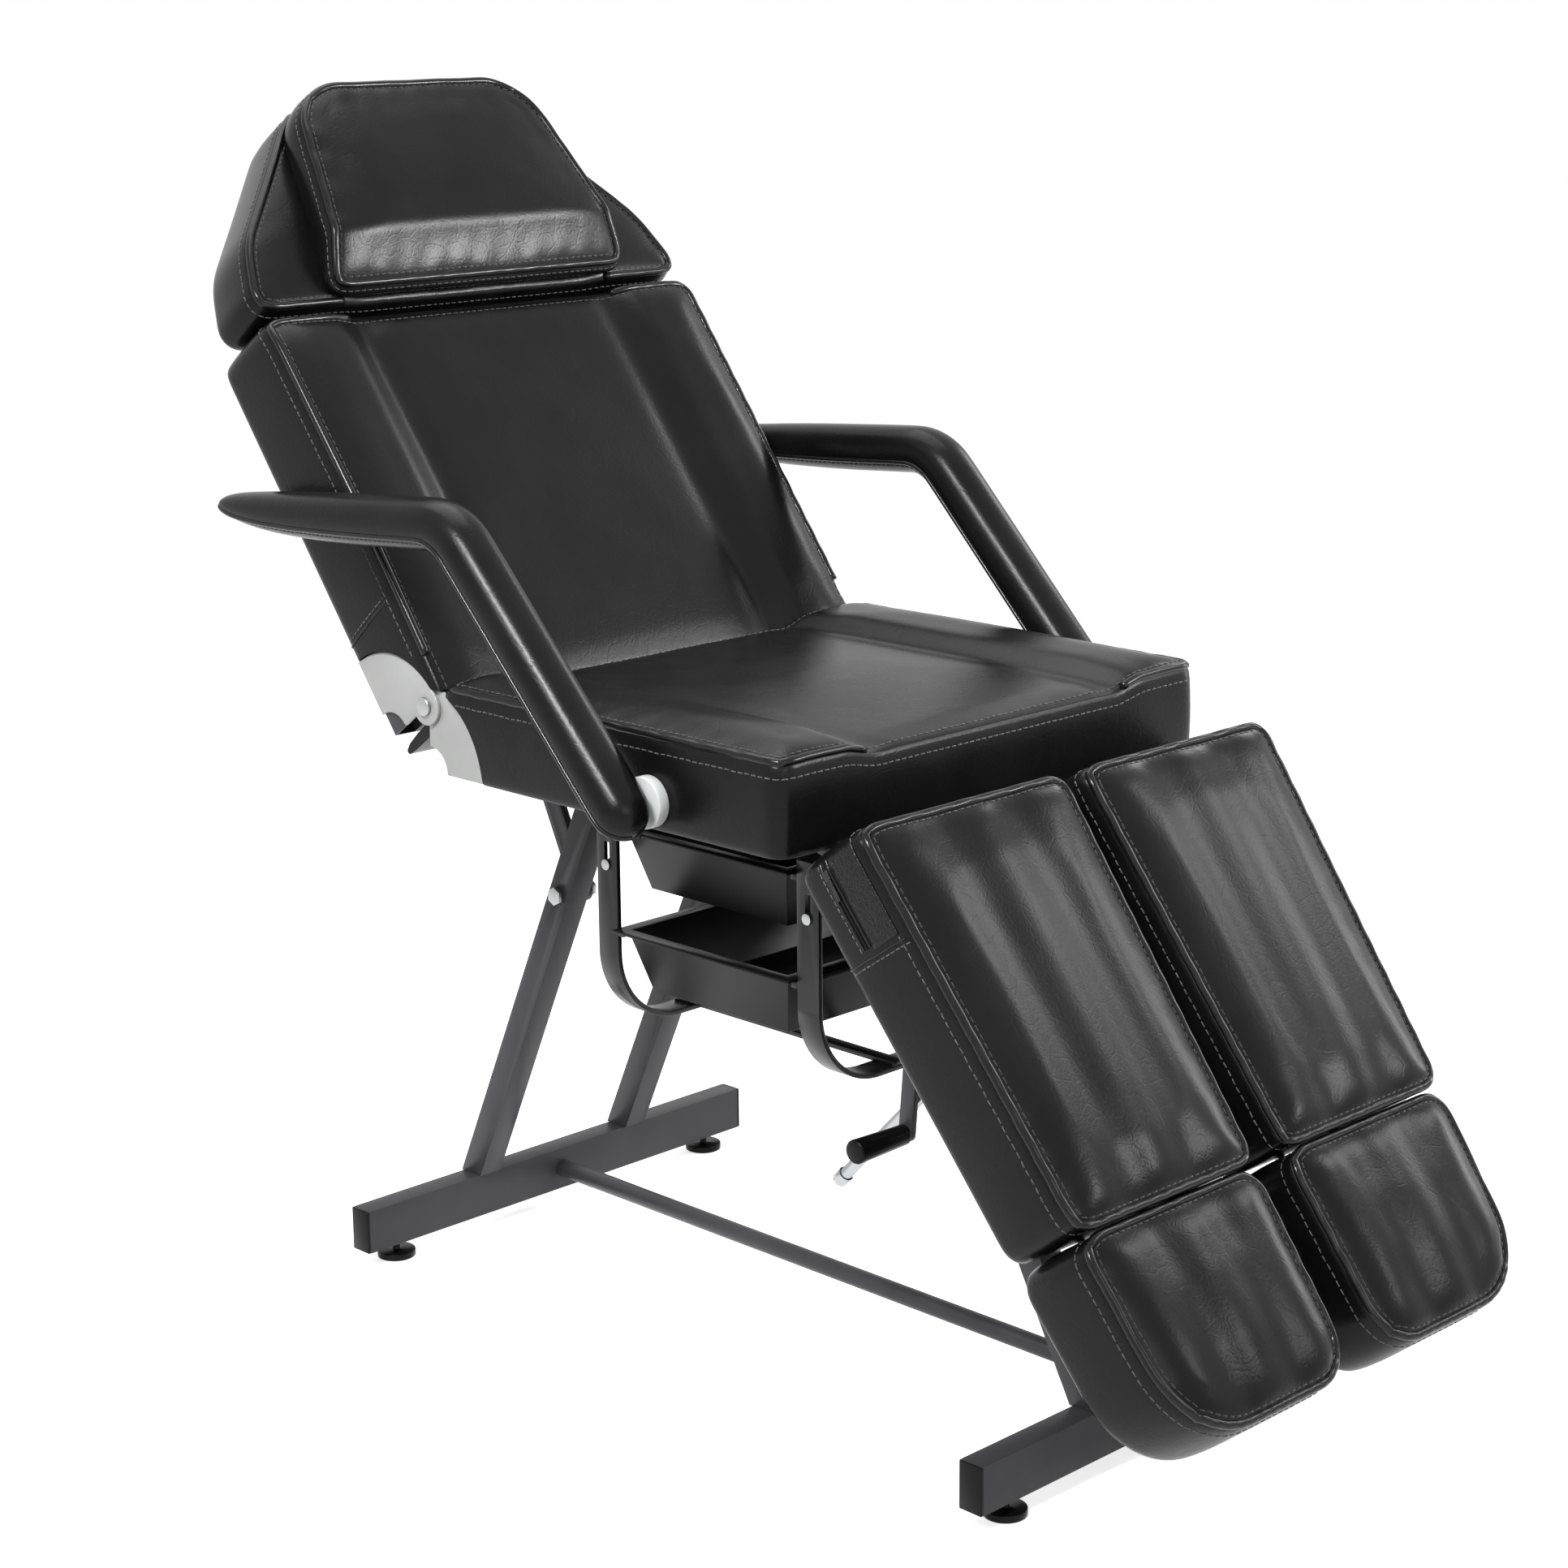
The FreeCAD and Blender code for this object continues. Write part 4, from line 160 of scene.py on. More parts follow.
# %% Piping, pebbled leather, thread and plywood
def patterned(name, kind, pattern, output, tones, stretch=None, relief=None, **settings):
    """A material that runs between two tones along a pattern, which may be stretched, and may raise it."""
    material, shader, place = new_material(name, **settings)
    if stretch:
        place = add(material, "ShaderNodeMapping", {"Scale": stretch}, Vector=place).outputs["Vector"]
    source = add(material, kind, pattern, Vector=place).outputs[output]
    plug(shader, Base_Color=two_tones(material, source, *tones))
    if relief:
        plug(shader, Normal=add(material, "ShaderNodeBump", relief, Height=source).outputs["Normal"])
    return material


piping_leather = patterned("pu_leather_piping", "ShaderNodeTexNoise", {"Scale": 90.0, "Detail": 2.0}, "Fac",
                           ("0e0e0f", "161617", 0.3, 0.7), Roughness=0.2, Specular_IOR_Level=0.25)
# The tops of the pebbles are painted lighter than the hollows between them, as a painted highlight on the grain.
pebbled_leather = patterned("pu_leather_pebbled", "ShaderNodeTexVoronoi",
                            {"Scale": 1 / 0.0019, "feature": "SMOOTH_F1"}, "Distance", ("1a1a1b", "0a0a0b", 0.1, 0.6),
                            relief={"Strength": 0.9, "Distance": 0.0006, "invert": True},
                            Roughness=0.36, Specular_IOR_Level=0.22)
thread, black_thread = (
    patterned(f"polyester_thread_{name}", "ShaderNodeTexWave", {"Scale": 300.0, "Distortion": 1.0}, "Fac",
              (dark, light, 0.2, 0.8), Roughness=0.75, Sheen_Weight=0.3)
    for name, dark, light in (("charcoal", "343435", "565656"), ("black", "0d0d0e", "1c1c1d")))
plywood = patterned("black_stained_plywood", "ShaderNodeTexNoise", {"Scale": 1.5, "Detail": 6.0}, "Fac",
                    ("1b1815", "2b2621", 0.3, 0.7), stretch=(60.0, 4.0, 60.0), Roughness=0.6)
print("piping, pebbled leather, thread and plywood are ready")

# %% [markdown]
# The stand is powder coated: plastic powder is sprayed on the steel and baked to a skin with a faint orange peel.
# The same recipe with another colour serves the hangers, the zinc-plated hinge plates and the moulded plastics,
# so one function mixes an even paint or plastic: a colour that varies a little, a roughness and a fine bump.


# %% Paints, plastics and plated steel
def coating(name, dark, light, rough, scale, depth, metallic=0.0, wear=0.04, shine=0.5):
    """A finish that is nearly even: two close tones, a roughness that drifts, and a fine surface bump."""
    material, shader, place = new_material(name, Metallic=metallic, Specular_IOR_Level=shine)
    clouds = add(material, "ShaderNodeTexNoise", {"Scale": 9.0, "Detail": 4.0}, Vector=place).outputs["Fac"]
    peel = add(material, "ShaderNodeTexNoise", {"Scale": scale, "Detail": 2.0}, Vector=place).outputs["Fac"]
    drift = add(material, "ShaderNodeMapRange", {"To Min": rough - wear, "To Max": rough + wear}, Value=clouds)
    bump = add(material, "ShaderNodeBump", {"Strength": 0.3, "Distance": depth}, Height=peel)
    plug(shader, Base_Color=two_tones(material, clouds, dark, light, 0.35, 0.65),
         Roughness=drift.outputs["Result"], Normal=bump.outputs["Normal"])
    return material


FINISHES = {
    "pu_leather": leather,
    "plywood": plywood,
    "grey_paint": coating("powder_coat_charcoal_grey", "353538", "3d3d3f", 0.38, 700.0, 0.0002, shine=0.2),
    "plate_steel": coating("zinc_plated_steel_satin", "9b9c9b", "abacab", 0.45, 260.0, 0.0001, metallic=0.35),
    "chrome": coating("chrome_plated_steel", "a4a6a8", "b2b4b6", 0.12, 60.0, 0.00003, metallic=1.0, wear=0.03),
    "zinc": coating("bright_zinc_bolts", "a9abab", "c0c2c2", 0.3, 400.0, 0.00005, metallic=1.0),
    "black_paint": coating("powder_coat_satin_black", "0f0f10", "151516", 0.30, 700.0, 0.00015, shine=0.35),
    "black_plastic": coating("abs_plastic_black", "0a0a0b", "0f0f10", 0.30, 1200.0, 0.00008, shine=0.12),
    "grey_plastic": coating("abs_plastic_light_grey", "b9babb", "c3c4c4", 0.45, 1200.0, 0.0001),
}
for name, cad_node in frame["nodes"].items():
    cad_node.data.materials.clear()
    cad_node.data.materials.append(FINISHES[SLOT_OF[name]])
print("finishes:", sorted(FINISHES))

# %% [markdown]
# Operators act on whatever is selected, and the loaded frame is selected to begin with.
# So each step starts from nothing selected, picks one piece, and ends with it in the right body. A few helpers take
# up what every step repeats: making a piece, a turn in edit mode, and a modifier that is set and applied.


# %% Selection, editing and modifiers
def pick(*pieces):
    """Only these pieces selected, the last one active."""
    bpy.ops.object.select_all(action="DESELECT")
    for piece in pieces:
        piece.select_set(True)
        bpy.context.view_layer.objects.active = piece


def made_by(operator, **settings):
    """What this operator adds, with nothing else selected."""
    bpy.ops.object.select_all(action="DESELECT")
    operator(**settings)
    return bpy.context.object


def set_in_place(piece):
    """Applies a piece's place, turn and scale to its mesh."""
    pick(piece)
    bpy.ops.object.transform_apply(location=True, rotation=True, scale=True)


def edit(piece, *steps):
    """Runs mesh operators, given as (operator, settings), on a piece with all of it selected."""
    pick(piece)
    bpy.ops.object.mode_set(mode="EDIT")
    bpy.ops.mesh.select_mode(type="EDGE")
    bpy.ops.mesh.select_all(action="SELECT")
    for operator, settings in steps:
        operator(**settings)
    bpy.ops.object.mode_set(mode="OBJECT")


def modify(piece, kind, **settings):
    """Adds a modifier of that kind with these settings, and applies it."""
    modifier = piece.modifiers.new(kind.lower(), kind)
    for key, value in settings.items():
        setattr(modifier, key, value)
    pick(piece)
    bpy.ops.object.modifier_apply(modifier=modifier.name)


FACE_OUT = (bpy.ops.mesh.normals_make_consistent, {"inside": False})
MERGE = (bpy.ops.mesh.remove_doubles, {"threshold": 0.00001})


def read_points(piece):
    points = np.empty(len(piece.data.vertices) * 3)
    piece.data.vertices.foreach_get("co", points)
    return points.reshape(-1, 3)


def write_points(piece, points):
    piece.data.vertices.foreach_set("co", np.asarray(points, float).ravel())
    piece.data.update()


def dress(piece, name, body, finish):
    """Names a finished piece, gives it its finish, and lets it ride on its body."""
    piece.name = name
    piece.data.materials.clear()
    piece.data.materials.append(finish)
    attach(piece, body)
    return piece


print("helpers are ready")

# %% [markdown]
# Every pad is sewn the same way: a top panel, a side panel all round it, piping in the seam between them, and a hem
# that turns in under the board. So one set of tools makes them all, and each pad only gives its plan and its top.
# A plan is a polygon whose corners are rounded; four of its corners are where the sides of the panel meet.


# %% The plan of a pad
LEAST_RADIUS = 0.001


def corner_of(corners, i):
    """A corner's place, the directions to its neighbours, half the angle between them, and its bisector."""
    here = np.array(corners[i][:2])
    before, after = (np.array(corners[k % len(corners)][:2]) - here for k in (i - 1, i + 1))
    before, after = before / np.linalg.norm(before), after / np.linalg.norm(after)
    half = math.acos(max(-1.0, min(1.0, float(before @ after)))) / 2
    bends_out = before[0] * after[1] - before[1] * after[0] < 0
    return here, before, after, half, (before + after) / np.linalg.norm(before + after), bends_out


def rounded_plan(corners, step=0.004):
    """Four sides as lists of points, from corners given as (x, y, radius, is_panel_corner), counterclockwise."""
    sides, current = [], []
    for i, (_, _, radius, is_corner) in enumerate(corners):
        here, before, _, half, bisector, bends_out = corner_of(corners, i)
        start = here + before * radius / math.tan(half)
        centre = here + bisector * radius / math.sin(half)
        sweep = math.pi - 2 * half
        turns = max(2, int(round(radius * sweep / step / 2)) * 2)
        first = math.atan2(*(start - centre)[::-1])
        angles = first + (sweep if bends_out else -sweep) * np.arange(turns + 1) / turns
        arc = list(centre + radius * np.stack([np.cos(angles), np.sin(angles)], axis=1))
        if is_corner:
            sides.append(current + arc[:turns // 2 + 1])
            current = arc[turns // 2:]
        else:
            current = current + arc
    sides[0] = current + sides[0]
    return [np.array(side) for side in sides]


def shares_of(line):
    """How far along a line each of its points lies, from 0 to 1."""
    lengths = np.concatenate([[0], np.cumsum(np.linalg.norm(np.diff(line, axis=0), axis=1))])
    return lengths / lengths[-1]


def spread(side, shares):
    """The points of a side at these shares of its length."""
    own = shares_of(side)
    keep = np.concatenate([[True], np.diff(own) > 1e-7])
    return np.stack([np.interp(shares, own[keep], side[keep, k]) for k in (0, 1)], axis=1)


def drawn_in(corners, distance):
    """The plan's polygon moved inwards: each corner slides along its bisector and its radius follows."""
    moved = []
    for i, (_, _, radius, is_corner) in enumerate(corners):
        here, _, _, half, bisector, bends_out = corner_of(corners, i)
        inwards = distance if bends_out else -distance
        moved.append((*(here + bisector * inwards / math.sin(half)), max(radius - inwards, LEAST_RADIUS), is_corner))
    return moved


SQUARE = [(0, 0, 0.026, 1), (0.5, 0, 0.026, 1), (0.5, 0.5, 0.026, 1), (0, 0.5, 0.026, 1)]
print("a 0.5 m square with 26 mm corners has", sum(len(side) for side in rounded_plan(SQUARE)), "points")

# %% [markdown]
# The top panel is a grid. Its outer rings run beside the seam, 6, 14 and 24 mm in, so that the stitches and the
# rolled edge have points to follow, and the middle is filled in between them as a stretched cloth would lie.

# %% The top panel
RINGS = (0.0, 0.006, 0.014, 0.024)
EDGE_STEP = 0.0015


def fill_between(south, east, north, west):
    """Points inside four sides: the two rulings added, less the corners counted twice."""
    rows, columns = len(west), len(south)
    u, v = np.linspace(0, 1, columns)[None, :, None], np.linspace(0, 1, rows)[:, None, None]
    across = west[:, None] * (1 - u) + east[:, None] * u
    along = south[None] * (1 - v) + north[None] * v
    corner = (south[0] * (1 - u) * (1 - v) + south[-1] * u * (1 - v) + north[0] * (1 - u) * v + north[-1] * u * v)
    return across + along - corner


def top_panel(name, plan, spacing):
    """A flat panel on the plan, the order of the points on its edge and the ring inside it, and its counts."""
    sides = rounded_plan(plan)
    long_x = max(np.linalg.norm(np.diff(sides[k], axis=0), axis=1).sum() for k in (0, 2))
    long_y = max(np.linalg.norm(np.diff(sides[k], axis=0), axis=1).sum() for k in (1, 3))
    columns, rows = max(10, round(long_x / spacing)), max(10, round(long_y / spacing))
    flat = np.zeros((rows + 1, columns + 1, 2))
    for k, inset in enumerate(RINGS):
        ring = rounded_plan(drawn_in(plan, inset))
        south, east, north, west = (spread(side, np.linspace(0, 1, n - 2 * k + 1))
                                    for side, n in zip(ring, (columns, rows, columns, rows)))
        north, west = north[::-1], west[::-1]
        last_row, last_column = rows - k, columns - k
        flat[k:last_row + 1, k:last_column + 1] = fill_between(south, east, north, west)
    piece = made_by(bpy.ops.mesh.primitive_grid_add, x_subdivisions=columns, y_subdivisions=rows, size=1)
    piece.name = name
    points = read_points(piece)
    column = np.rint((points[:, 0] + 0.5) * columns).astype(int)
    row = np.rint((points[:, 1] + 0.5) * rows).astype(int)
    points[:, :2] = flat[row, column]
    write_points(piece, points)
    at = {(r, c): i for i, (r, c) in enumerate(zip(row, column))}

    def ring_order(k):
        return ([at[k, c] for c in range(k, columns - k)] + [at[r, columns - k] for r in range(k, rows - k)]
                + [at[rows - k, c] for c in range(columns - k, k, -1)] + [at[r, k] for r in range(rows - k, k, -1)])

    return piece, ring_order(0), ring_order(1), (columns, rows, columns, rows)


def edge_distance(points, sides):
    """How far each point lies from the nearest of these sides."""
    lengths = [np.linalg.norm(np.diff(side, axis=0), axis=1).sum() for side in sides]
    edge = np.concatenate([spread(side, np.linspace(0, 1, int(length / EDGE_STEP)))
                           for side, length in zip(sides, lengths)])
    return np.array([np.sqrt(((edge - p) ** 2).sum(axis=1).min()) for p in points[:, :2]])


print("the panel has", len(RINGS), "rings beside the seam")

# %% [markdown]
# The side panel is extruded from the edge of the top, one band at a time: down the side, which the stuffing draws in
# at half height, round the lower edge, in under the hem and up to the board. The pad is hollow there, as on the
# real chair, because the frame sits inside it.


# %% The side panel and the hem
def extruded(piece, operator, lift, current):
    """Extrudes the selection upwards; gives all points, and the new ones' indices in the order of current."""
    bpy.ops.object.mode_set(mode="EDIT")
    operator(TRANSFORM_OT_translate={"value": (0, 0, lift)})
    bpy.ops.object.mode_set(mode="OBJECT")
    points = read_points(piece)
    chosen = np.array([v.index for v in piece.data.vertices if v.select])
    order = [int(((current - p) ** 2).sum(axis=1).argmin()) for p in points[chosen] - (0, 0, lift)]
    loop = np.empty(len(order), int)
    loop[order] = chosen
    return points, loop


def sew_sides(piece, edge, counts, plan, bands):
    """Extrudes the edge loop through bands given as (distance inwards, height for each edge point)."""
    current = base = read_points(piece)[edge]

    def outline(inset):
        """The plan drawn in, with its points beside those of the edge."""
        loop, start = [], 0
        for side, count in zip(rounded_plan(drawn_in(plan, inset)), counts):
            own = base[np.arange(start, start + count + 1) % len(base)][:, :2]
            loop.append(spread(side, shares_of(own))[:-1])
            start += count
        return np.concatenate(loop)

    edit(piece, (bpy.ops.mesh.region_to_loop, {}))
    loops = []
    for inset, heights in bands:
        points, loop = extruded(piece, bpy.ops.mesh.extrude_edges_move, -1, current)
        current = points[loop] = np.column_stack([outline(inset), heights])
        write_points(piece, points)
        loops.append(loop)
    return loops


def litres(piece):
    """What a closed mesh encloses."""
    shell = bmesh.new()
    shell.from_mesh(piece.data)
    return shell.calc_volume() * 1000


def close_below(piece):
    """Closes the open lower edge, where the pad meets its board, and turns every face outwards."""
    edit(piece, (bpy.ops.mesh.region_to_loop, {}), (bpy.ops.mesh.edge_face_add, {}),
         (bpy.ops.mesh.select_all, {"action": "SELECT"}), FACE_OUT)
    print(f"{piece.name} encloses {litres(piece):.2f} litres")


def group_of(piece, name, indices):
    """A vertex group that holds these points."""
    group = piece.vertex_groups.new(name=name)
    group.add([int(i) for i in indices], 1.0, "REPLACE")


print("the side panel's tools are ready")

# %% [markdown]
# The cover is cut a little larger than the foam, and the foam presses it out. Blender's cloth does the same: the
# seam and the sides are held, the top is pushed from inside, and the cloth is given a little more than it needs,
# so it swells between the seams. The swell is evened out between neighbours, and how far a point may move is capped,
# so that the pads stay clear of each other.


# %% Foam pressing the cover out
CLOTH = {"vertex_group_mass": "held", "quality": 4, "mass": 0.35, "tension_stiffness": 20,
         "compression_stiffness": 20, "bending_stiffness": 12.0, "shrink_min": -0.002, "use_pressure": True,
         "uniform_pressure_force": 4.0}
FRAMES, EVENINGS = 20, 25


def press_out(piece, held, most):
    """Swells the free part of a cover by cloth pressure, by at most that many metres."""
    rest = read_points(piece)
    pick(piece)
    group_of(piece, "held", held)
    modifier = piece.modifiers.new("cover", "CLOTH")
    for key, value in CLOTH.items():
        setattr(modifier.settings, key, value)
    modifier.settings.effector_weights.gravity = 0
    for step in range(1, FRAMES + 1):
        bpy.context.scene.frame_set(step)
    bpy.ops.object.modifier_apply(modifier="cover")
    moved = read_points(piece) - rest
    ends = np.array([edge.vertices[:] for edge in piece.data.edges])
    neighbours = np.bincount(ends.ravel(), minlength=len(moved))[:, None]
    for _ in range(EVENINGS):
        total = np.zeros_like(moved)
        for a, b in ((0, 1), (1, 0)):
            np.add.at(total, ends[:, a], moved[ends[:, b]])
        moved = 0.5 * moved + 0.5 * total / neighbours
        moved[held] = 0
    length = np.linalg.norm(moved, axis=1)
    share = np.where(length > most, most / np.maximum(length, 1e-9), 1.0)
    write_points(piece, rest + moved * share[:, None])
    bpy.context.scene.frame_set(1)
    print(f"{piece.name}: cover swelled by up to {min(length.max(), most) * 1000:.1f} mm")


print("the cloth takes", FRAMES, "frames")

# %% [markdown]
# Piping is a cord wrapped in leather and caught in the seam. The seam's own edge loop is copied out of the finished
# cover, made a curve, and given a round section, so it follows every swell. The stitches beside it are one small
# capsule of thread, repeated along a copied loop with Array and bent onto it with Curve.

# %% Piping and stitches
PIPE_RADIUS = 0.0042
STITCH = {"length": 0.0050, "pitch": 0.0082, "radius": 0.00065}
SMALL_STITCH = {"length": 0.0042, "pitch": 0.0068, "radius": 0.0006}


def loop_curve(piece, group_name, keep=None):
    """A curve along the edges whose two ends are in the group, where keep allows it."""
    index = piece.vertex_groups[group_name].index
    mesh = piece.data
    inside = np.zeros(len(mesh.vertices), bool)
    for v in mesh.vertices:
        for g in v.groups:
            if g.group == index and g.weight > 0.97 and (keep is None or keep(v.co)):
                inside[v.index] = True
    edit(piece, (bpy.ops.mesh.select_all, {"action": "DESELECT"}))
    for e in mesh.edges:
        e.select = bool(inside[e.vertices[0]] and inside[e.vertices[1]])
    bpy.ops.object.mode_set(mode="EDIT")
    bpy.ops.mesh.duplicate()
    bpy.ops.mesh.separate(type="SELECTED")
    bpy.ops.object.mode_set(mode="OBJECT")
    curve = [o for o in bpy.context.selected_objects if o is not piece][0]
    pick(curve)
    for modifier in list(curve.modifiers):
        curve.modifiers.remove(modifier)
    bpy.ops.object.convert(target="CURVE")
    return bpy.context.object


def as_tube(curve, radius, sides=3):
    """The curve as a round, closed tube."""
    curve.data.bevel_depth = radius
    curve.data.bevel_resolution = sides
    curve.data.use_fill_caps = True
    pick(curve)
    bpy.ops.object.convert(target="MESH")
    tube = bpy.context.object
    edit(tube, MERGE, FACE_OUT)
    bpy.ops.object.shade_smooth()
    return tube


def stitch_along(curve, length, pitch, radius):
    """Small capsules of thread one after another along the curve."""
    stitch = made_by(bpy.ops.mesh.primitive_cylinder_add, vertices=6, radius=radius, depth=length,
                     rotation=(0, math.pi / 2, 0), location=(pitch / 2, 0, 0), end_fill_type="TRIFAN")
    set_in_place(stitch)
    points = read_points(stitch)
    ends = np.abs(points[:, 0] - pitch / 2) > length * 0.49
    middle = ends & (np.hypot(points[:, 1], points[:, 2]) < radius * 0.1)
    points[middle, 0] += np.sign(points[middle, 0] - pitch / 2) * radius
    write_points(stitch, points)
    modify(stitch, "ARRAY", fit_type="FIT_CURVE", curve=curve, use_relative_offset=False, use_constant_offset=True,
           constant_offset_displace=(pitch, 0, 0))
    modify(stitch, "CURVE", object=curve)
    bpy.ops.object.shade_smooth()
    bpy.data.objects.remove(curve, do_unlink=True)
    return stitch


print("piping is", PIPE_RADIUS * 2000, "mm thick")

# %% [markdown]
# A pad is sewn flat on the bench, so it is modelled in the layout of the bed lying flat. Then it is turned about its
# hinge into the pose of the photograph, and its turn and place are applied to its mesh.

# %% Sewing a whole pad
SHIFT = 0.2404894
SHOULDER, HEM, MOST_SWELL = 0.005, 0.010, 0.004
# Two bands under the seam: the share of the shoulder they stand in, their drop, and its cap as a share of the depth.
UNDER_SEAM = ((0.45, 0.0025, 0.1), (0.1, 0.009, 0.35))
PIVOT = (0.0, 0.627)
LEG_HINGE = (-0.488, 0.554)
TILT = 53
UNDER, BED_BOARD, LEG_BOARD = 0.562, 0.6135, 0.5985


def lay(piece, hinge=None, degrees=0.0):
    """Moves a piece from the flat layout to its place on the chair."""
    turn = Matrix.Identity(4)
    if hinge:
        centre = Vector((0, hinge[0], hinge[1]))
        turn = (Matrix.Translation(centre) @ Matrix.Rotation(math.radians(degrees), 4, "X")
                @ Matrix.Translation(-centre))
    piece.matrix_world = Matrix.Translation((0, SHIFT, 0)) @ turn @ piece.matrix_world
    set_in_place(piece)


def mirrored(piece, name):
    """The same piece on the other side of the chair, with its own mesh."""
    other = piece.copy()
    other.data = piece.data.copy()
    bpy.context.scene.collection.objects.link(other)
    other.name = name
    other.data.transform(Matrix.Scale(-1, 4, (1, 0, 0)))
    edit(other, (bpy.ops.mesh.flip_normals, {}))
    return other


def sew_pad(name, plan, top, board, spacing=0.010, floor=UNDER, open_side=None, wrap=None, bulge=0.0015,
            skirt=True, top_plan=None):
    """A sewn pad in the flat layout: panel, sides, hem, and its cover pressed out."""
    top_plan = top_plan or drawn_in(plan, SHOULDER)
    sides = rounded_plan(top_plan)
    piece, edge, inner_ring, counts = top_panel(name, top_plan, spacing)
    points = read_points(piece)
    counted = [side for k, side in enumerate(sides) if k != open_side]
    points[:, 2] = top(points[:, 0], points[:, 1], edge_distance(points, counted))
    if wrap:
        points = wrap(points)
    write_points(piece, points)
    seam = points[edge][:, 2]
    deep = seam - floor
    bands = [(SHOULDER * share, seam - np.minimum(drop, deep * cap)) for share, drop, cap in UNDER_SEAM]
    bands += [(-bulge * math.sin(math.pi * share), seam - deep * share) for share in (0.5, 0.75)]
    bands += [(0.0, seam - deep * 0.93), (0.0015, floor + 0 * seam)]
    if skirt:
        bands += [(HEM, floor + 0 * seam), (HEM + 0.0005, board + 0 * seam)]
    loops = sew_sides(piece, edge, counts, plan, bands)
    group_of(piece, "seam", edge)
    group_of(piece, "stitch_top", inner_ring)
    group_of(piece, "stitch_side", loops[1])
    press_out(piece, np.concatenate([edge] + loops), MOST_SWELL)
    modify(piece, "SUBSURF", levels=1, render_levels=1)
    close_below(piece)
    bpy.ops.object.shade_smooth()
    return piece


# How long a cutter is, and how far apart two of them end, so that no two faces lie in one plane.
CUT, APART = 0.06, 0.00007


def notch(piece, holes):
    """Cuts holes into both sides of a pad, each given as a shape, its centre y and z, half sizes and inner x."""
    for number, (shape, y, z, half_y, half_z, inner) in enumerate(holes):
        inner += number * APART
        for side in (-1, 1):
            spot = {"rotation": (0, math.pi / 2, 0), "location": (side * (inner + CUT / 2), y, z)}
            if shape == "round":
                cutter = made_by(bpy.ops.mesh.primitive_cylinder_add, vertices=96, radius=half_y, depth=CUT, **spot)
            else:
                cutter = made_by(bpy.ops.mesh.primitive_cube_add, size=1, scale=(2 * half_z, 2 * half_y, CUT), **spot)
            set_in_place(cutter)
            modify(piece, "BOOLEAN", operation="DIFFERENCE", solver="EXACT", object=cutter)
            bpy.data.objects.remove(cutter, do_unlink=True)
    pick(piece)
    bpy.ops.object.shade_smooth_by_angle(angle=math.radians(40))


def finish_pad(piece, label, body, node, hinge, degrees, keep=None, side_keep=None, holes=(), mirror_to=None):
    """Piping and stitches on a sewn pad, its holes cut, then everything laid in place and dressed, and the frame's
    pad that it replaces hidden.
    """
    piping = as_tube(loop_curve(piece, "seam", keep), PIPE_RADIUS)
    top_row, side_row = (stitch_along(loop_curve(piece, group, test), **STITCH)
                         for group, test in (("stitch_top", None), ("stitch_side", side_keep)))
    if holes:
        notch(piece, holes)
    for part, part_name, finish in ((piece, label, leather), (piping, f"{label}_piping", piping_leather),
                                    (top_row, f"{label}_stitches", black_thread),
                                    (side_row, f"{label}_side_stitches", thread)):
        lay(part, hinge, degrees)
        copies = [(part, part_name, body, node)]
        if mirror_to:
            other_label, other_body, other_node = mirror_to
            other_name = part_name.replace(label, other_label)
            copies.append((mirrored(part, other_name), other_name, other_body, other_node))
        for copy, copy_name, copy_body, copy_node in copies:
            dress(copy, copy_name, copy_body, finish)
            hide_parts(copy_node)
    print(label, "has", len(piece.data.vertices), "points")


print("the bed lies", SHIFT, "m behind the middle of the frame")

# %% [markdown]
# Some lines cross the side panels: seams where two pieces of cover meet, and on the leg rests a zip with a pebbled
# panel above it. Their points are first set down on the finished cover, so they follow its swell.


# %% Trim on the side panels
def settle(piece, points, lift):
    """These points moved onto the cover, and off it again by that much."""
    result = []
    for point in points:
        _, spot, normal, _ = piece.closest_point_on_mesh(Vector(point))
        result.append(spot + normal * lift)
    return result


def path_through(points):
    """A smooth open curve through these points."""
    bpy.ops.curve.primitive_nurbs_path_add()
    curve = bpy.context.object
    spline = curve.data.splines[0]
    spline.points.add(len(points) - len(spline.points))
    for knot, point in zip(spline.points, points):
        knot.co = (*point, 1)
    spline.order_u = 3
    spline.use_endpoint_u = True
    return curve


def across(piece, start, end, lift=0.0003, count=12):
    """A curve on the cover from one point to another."""
    line = [tuple(a + (b - a) * k / (count - 1) for a, b in zip(start, end)) for k in range(count)]
    return path_through(settle(piece, line, lift))


def ridge(piece, start, end, radius=0.0011):
    """A folded edge of leather that lies on the cover."""
    return as_tube(across(piece, start, end), radius, 2)


def stitches(piece, start, end):
    return stitch_along(across(piece, start, end), 0.0040, 0.0066, 0.0006)


def block(centre, sides, bevel):
    """A small block with rounded edges."""
    piece = made_by(bpy.ops.mesh.primitive_cube_add, size=1, location=centre, scale=sides)
    set_in_place(piece)
    modify(piece, "BEVEL", width=bevel, segments=3)
    return piece


def patch(piece, low, high, lift, thick):
    """A panel of another leather between two corners given as (x, y, z), laid on the cover."""
    panel = made_by(bpy.ops.mesh.primitive_grid_add, x_subdivisions=24, y_subdivisions=10, size=1)
    spots = [(low[0], low[1] + (high[1] - low[1]) * (x + 0.5), low[2] + (high[2] - low[2]) * (y + 0.5))
             for x, y, _ in read_points(panel)]
    write_points(panel, np.array([tuple(p) for p in settle(piece, spots, lift)]))
    modify(panel, "SOLIDIFY", thickness=thick, offset=0)
    edit(panel, FACE_OUT)
    bpy.ops.object.shade_smooth()
    return panel


